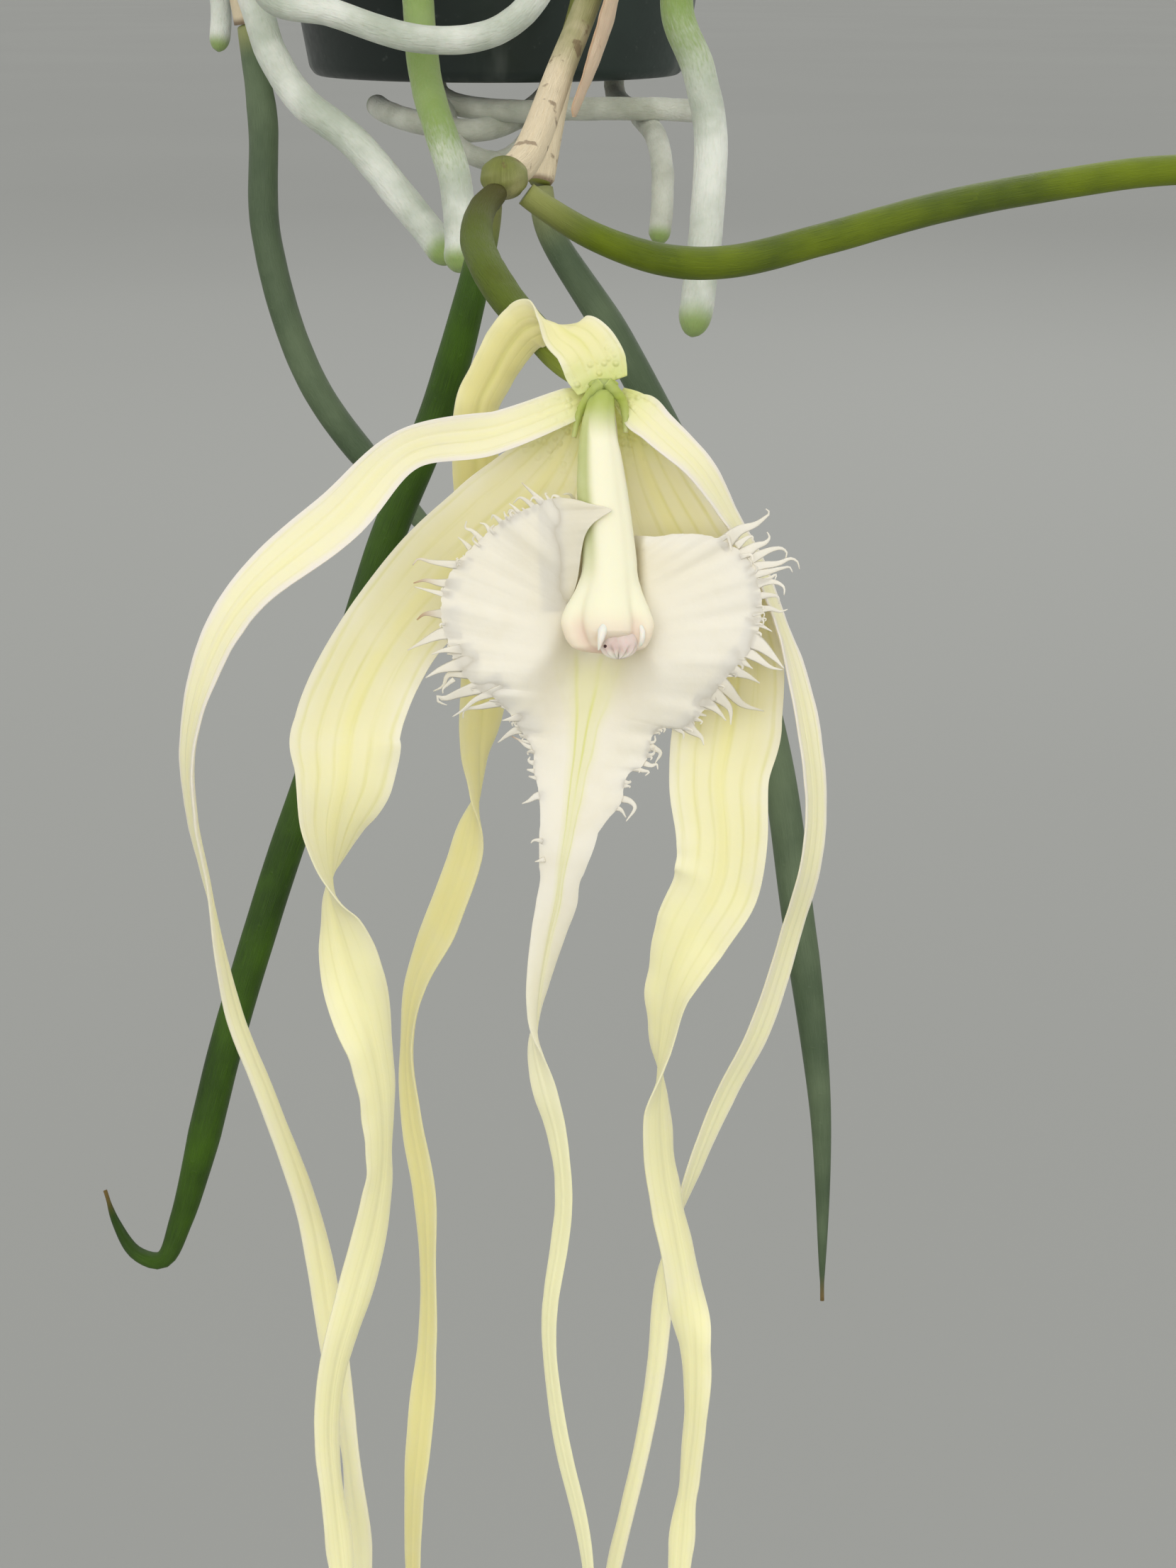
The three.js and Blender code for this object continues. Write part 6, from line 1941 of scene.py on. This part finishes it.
@dataclass
class Hanger:
    """Three wires from under the rim to a twisted neck, and the hook above it."""

    finish: WireFinish = WireFinish()

    def wire(self, number: int) -> Patch:
        """One wire: hooked under the rim, up its side and in to the neck."""
        angle = 2 * math.pi * number / WIRE_COUNT + math.pi / 6
        c, s = math.cos(angle), math.sin(angle)
        far = RIM_RADIUS + GAP + WIRE
        under = RIM_TOP - RIM_DEPTH - GAP - WIRE
        line = [(far - 1.6, under - 0.1), (far - 0.4, under + 0.3), (far, under + 1.8), (far, RIM_TOP + 0.5),
                (far - 1.2, RIM_TOP + 6), (1.6, NECK_Z - 4), (0.2, NECK_Z + 1)]
        route = [(r * c, r * s, z) for r, z in line]
        return Stalk(route, sides=18, rows=110, by_length=False).patch(even(WIRE))

    def hook(self) -> Patch:
        """The hook: a straight shank and an arc of 260 degrees whose crown's inside is at the origin."""
        drop = HOOK_RADIUS - HOOK_WIRE
        arc = np.radians(np.arange(-70, 191, 13))
        route = [(0, 0, NECK_Z - 3), (0, 0, NECK_Z + 4)]
        route += [(HOOK_RADIUS * math.cos(a), 0, HOOK_RADIUS * math.sin(a) - drop) for a in arc]
        return Stalk(route, sides=20, rows=160, by_length=False).patch(
            lambda t: HOOK_WIRE * blunted(t - 0.985, 0.016, 0.05))

    def winding(self) -> Patch:
        """The neck's winding: a close helix of wire round the three ends."""
        turns, radius, gauge = 5, 1.65, 0.5
        s = np.linspace(0, 1, 60)
        route = turned(radius, 2 * np.pi * turns * s, NECK_Z - 3.2 + 6.4 * s)
        return Stalk(route, sides=12, rows=260, by_length=False).patch(even(gauge))

    def build(self) -> None:
        """Makes and dresses the hanger."""
        patches = [self.wire(k) for k in range(WIRE_COUNT)] + [self.hook(), self.winding()]
        patches.append(lump((0, 0, NECK_Z), (1.6, 1.6, 3.6), 91))
        add("hanger_wires", merged(patches), self.finish.material(), "hanger", "wire")


# The studio

class LampKind(Enum):
    """The kinds of light in use."""

    SUN = "SUN"
    AREA = "AREA"


@dataclass(frozen=True)
class Lamp:
    """A soft light: a sun by strength and angle in radians, or an area by watts and side in metres."""

    name: str
    kind: LampKind
    at: tuple[float, float, float]
    power: float
    size: float
    tint: Colour


LAMPS = [
    Lamp("key", LampKind.SUN, (-0.8, -1.9, 0.9), 0.62, 1.0, (1.0, 0.985, 0.95)),
    Lamp("front", LampKind.SUN, (-0.2, -1.8, -0.12), 0.75, 0.9, (1.0, 1.0, 0.98)),
    Lamp("fill", LampKind.AREA, (1.1, -1.1, 0.1), 3.5, 1.2, (1.0, 0.99, 0.97)),
    Lamp("rim", LampKind.AREA, (0.3, 1.2, 0.8), 5.0, 1.2, (1.0, 1.0, 1.0)),
]


@dataclass
class Studio:
    """A wide pale floor, soft lights, and the camera at the viewer's place."""

    camera_at: tuple[float, float, float] = (0.0117, -0.307, -0.1641)
    pitch: float = 70.0
    lens: float = 52.0
    film: float = 36.0
    near: float = 0.01
    aim: tuple[float, float, float] = (0.01, -0.12, -0.2)
    sky: Colour = (1.0, 1.0, 0.98)
    sky_strength: float = 0.76
    floor_z: float = -0.42
    floor_radius: float = 60.0
    floor_sides: int = 96
    grey: Colour = (0.342, 0.347, 0.334)

    def camera(self) -> None:
        """Puts the camera in the scene and makes it the active one."""
        data = bpy.data.cameras.new("viewer")
        data.lens, data.sensor_width, data.clip_start = self.lens, self.film, self.near
        camera = bpy.data.objects.new("viewer", data)
        camera.location = self.camera_at
        camera.rotation_euler = (math.radians(self.pitch), 0, 0)
        bpy.context.scene.collection.objects.link(camera)
        bpy.context.scene.camera = camera

    def floor(self) -> None:
        """A round sheet of matt paint."""
        a = around(self.floor_sides)
        points = self.floor_radius * np.stack([np.cos(a), np.sin(a), 0 * a], axis=-1)
        points[:, 2] = self.floor_z
        mesh = bpy.data.meshes.new("floor")
        mesh.from_pydata(points, [], [list(range(len(a)))])
        p = Paint("floor_paint")
        cloud = p.noise(1.5, 2)
        colour = p.mix(p.step(cloud, 0.3, 0.7) * 0.3, self.grey, tuple(0.92 * v for v in self.grey))
        mesh.materials.append(p.finish(Base_Color=colour, Roughness=0.9, Specular_IOR_Level=0.1))
        floor = bpy.data.objects.new("floor", mesh)
        bpy.context.scene.collection.objects.link(floor)

    def light(self, lamp: Lamp) -> None:
        """Puts a lamp at its place and turns it to face the flower."""
        data = bpy.data.lights.new(lamp.name, lamp.kind.value)
        data.energy, data.color = lamp.power, lamp.tint
        if lamp.kind is LampKind.SUN:
            data.angle = lamp.size
        else:
            data.size = lamp.size
        light = bpy.data.objects.new(lamp.name, data)
        light.location = lamp.at
        aim = np.array(self.aim) - np.array(lamp.at)
        flat = math.hypot(aim[0], aim[1])
        light.rotation_euler = (math.atan2(flat, -aim[2]), 0, math.atan2(aim[1], aim[0]) - math.pi / 2)
        bpy.context.scene.collection.objects.link(light)

    def build(self) -> None:
        """Sets the view, the world's light, the lamps, the floor and the camera."""
        scene = bpy.context.scene
        scene.view_settings.view_transform = "Standard"
        scene.view_settings.exposure = 0.0
        world = bpy.data.worlds.new("studio")
        world.use_nodes = True
        background = world.node_tree.nodes["Background"]
        background.inputs[0].default_value = (*self.sky, 1)
        background.inputs[1].default_value = self.sky_strength
        scene.world = world
        for lamp in LAMPS:
            self.light(lamp)
        self.floor()
        self.camera()


def main() -> None:
    """Builds the studio and then every piece of the plant, in order."""
    logging.basicConfig(level=logging.INFO, format="%(message)s")
    kinds = (Studio, Petals, Lip, Column, Pedicel, Foliage, Roots, Pot, Bark, Hanger)
    for assembly in (kind() for kind in kinds):
        assembly.build()
        LOG.info("%s is done", type(assembly).__name__)


if __name__ == "__main__":
    main()
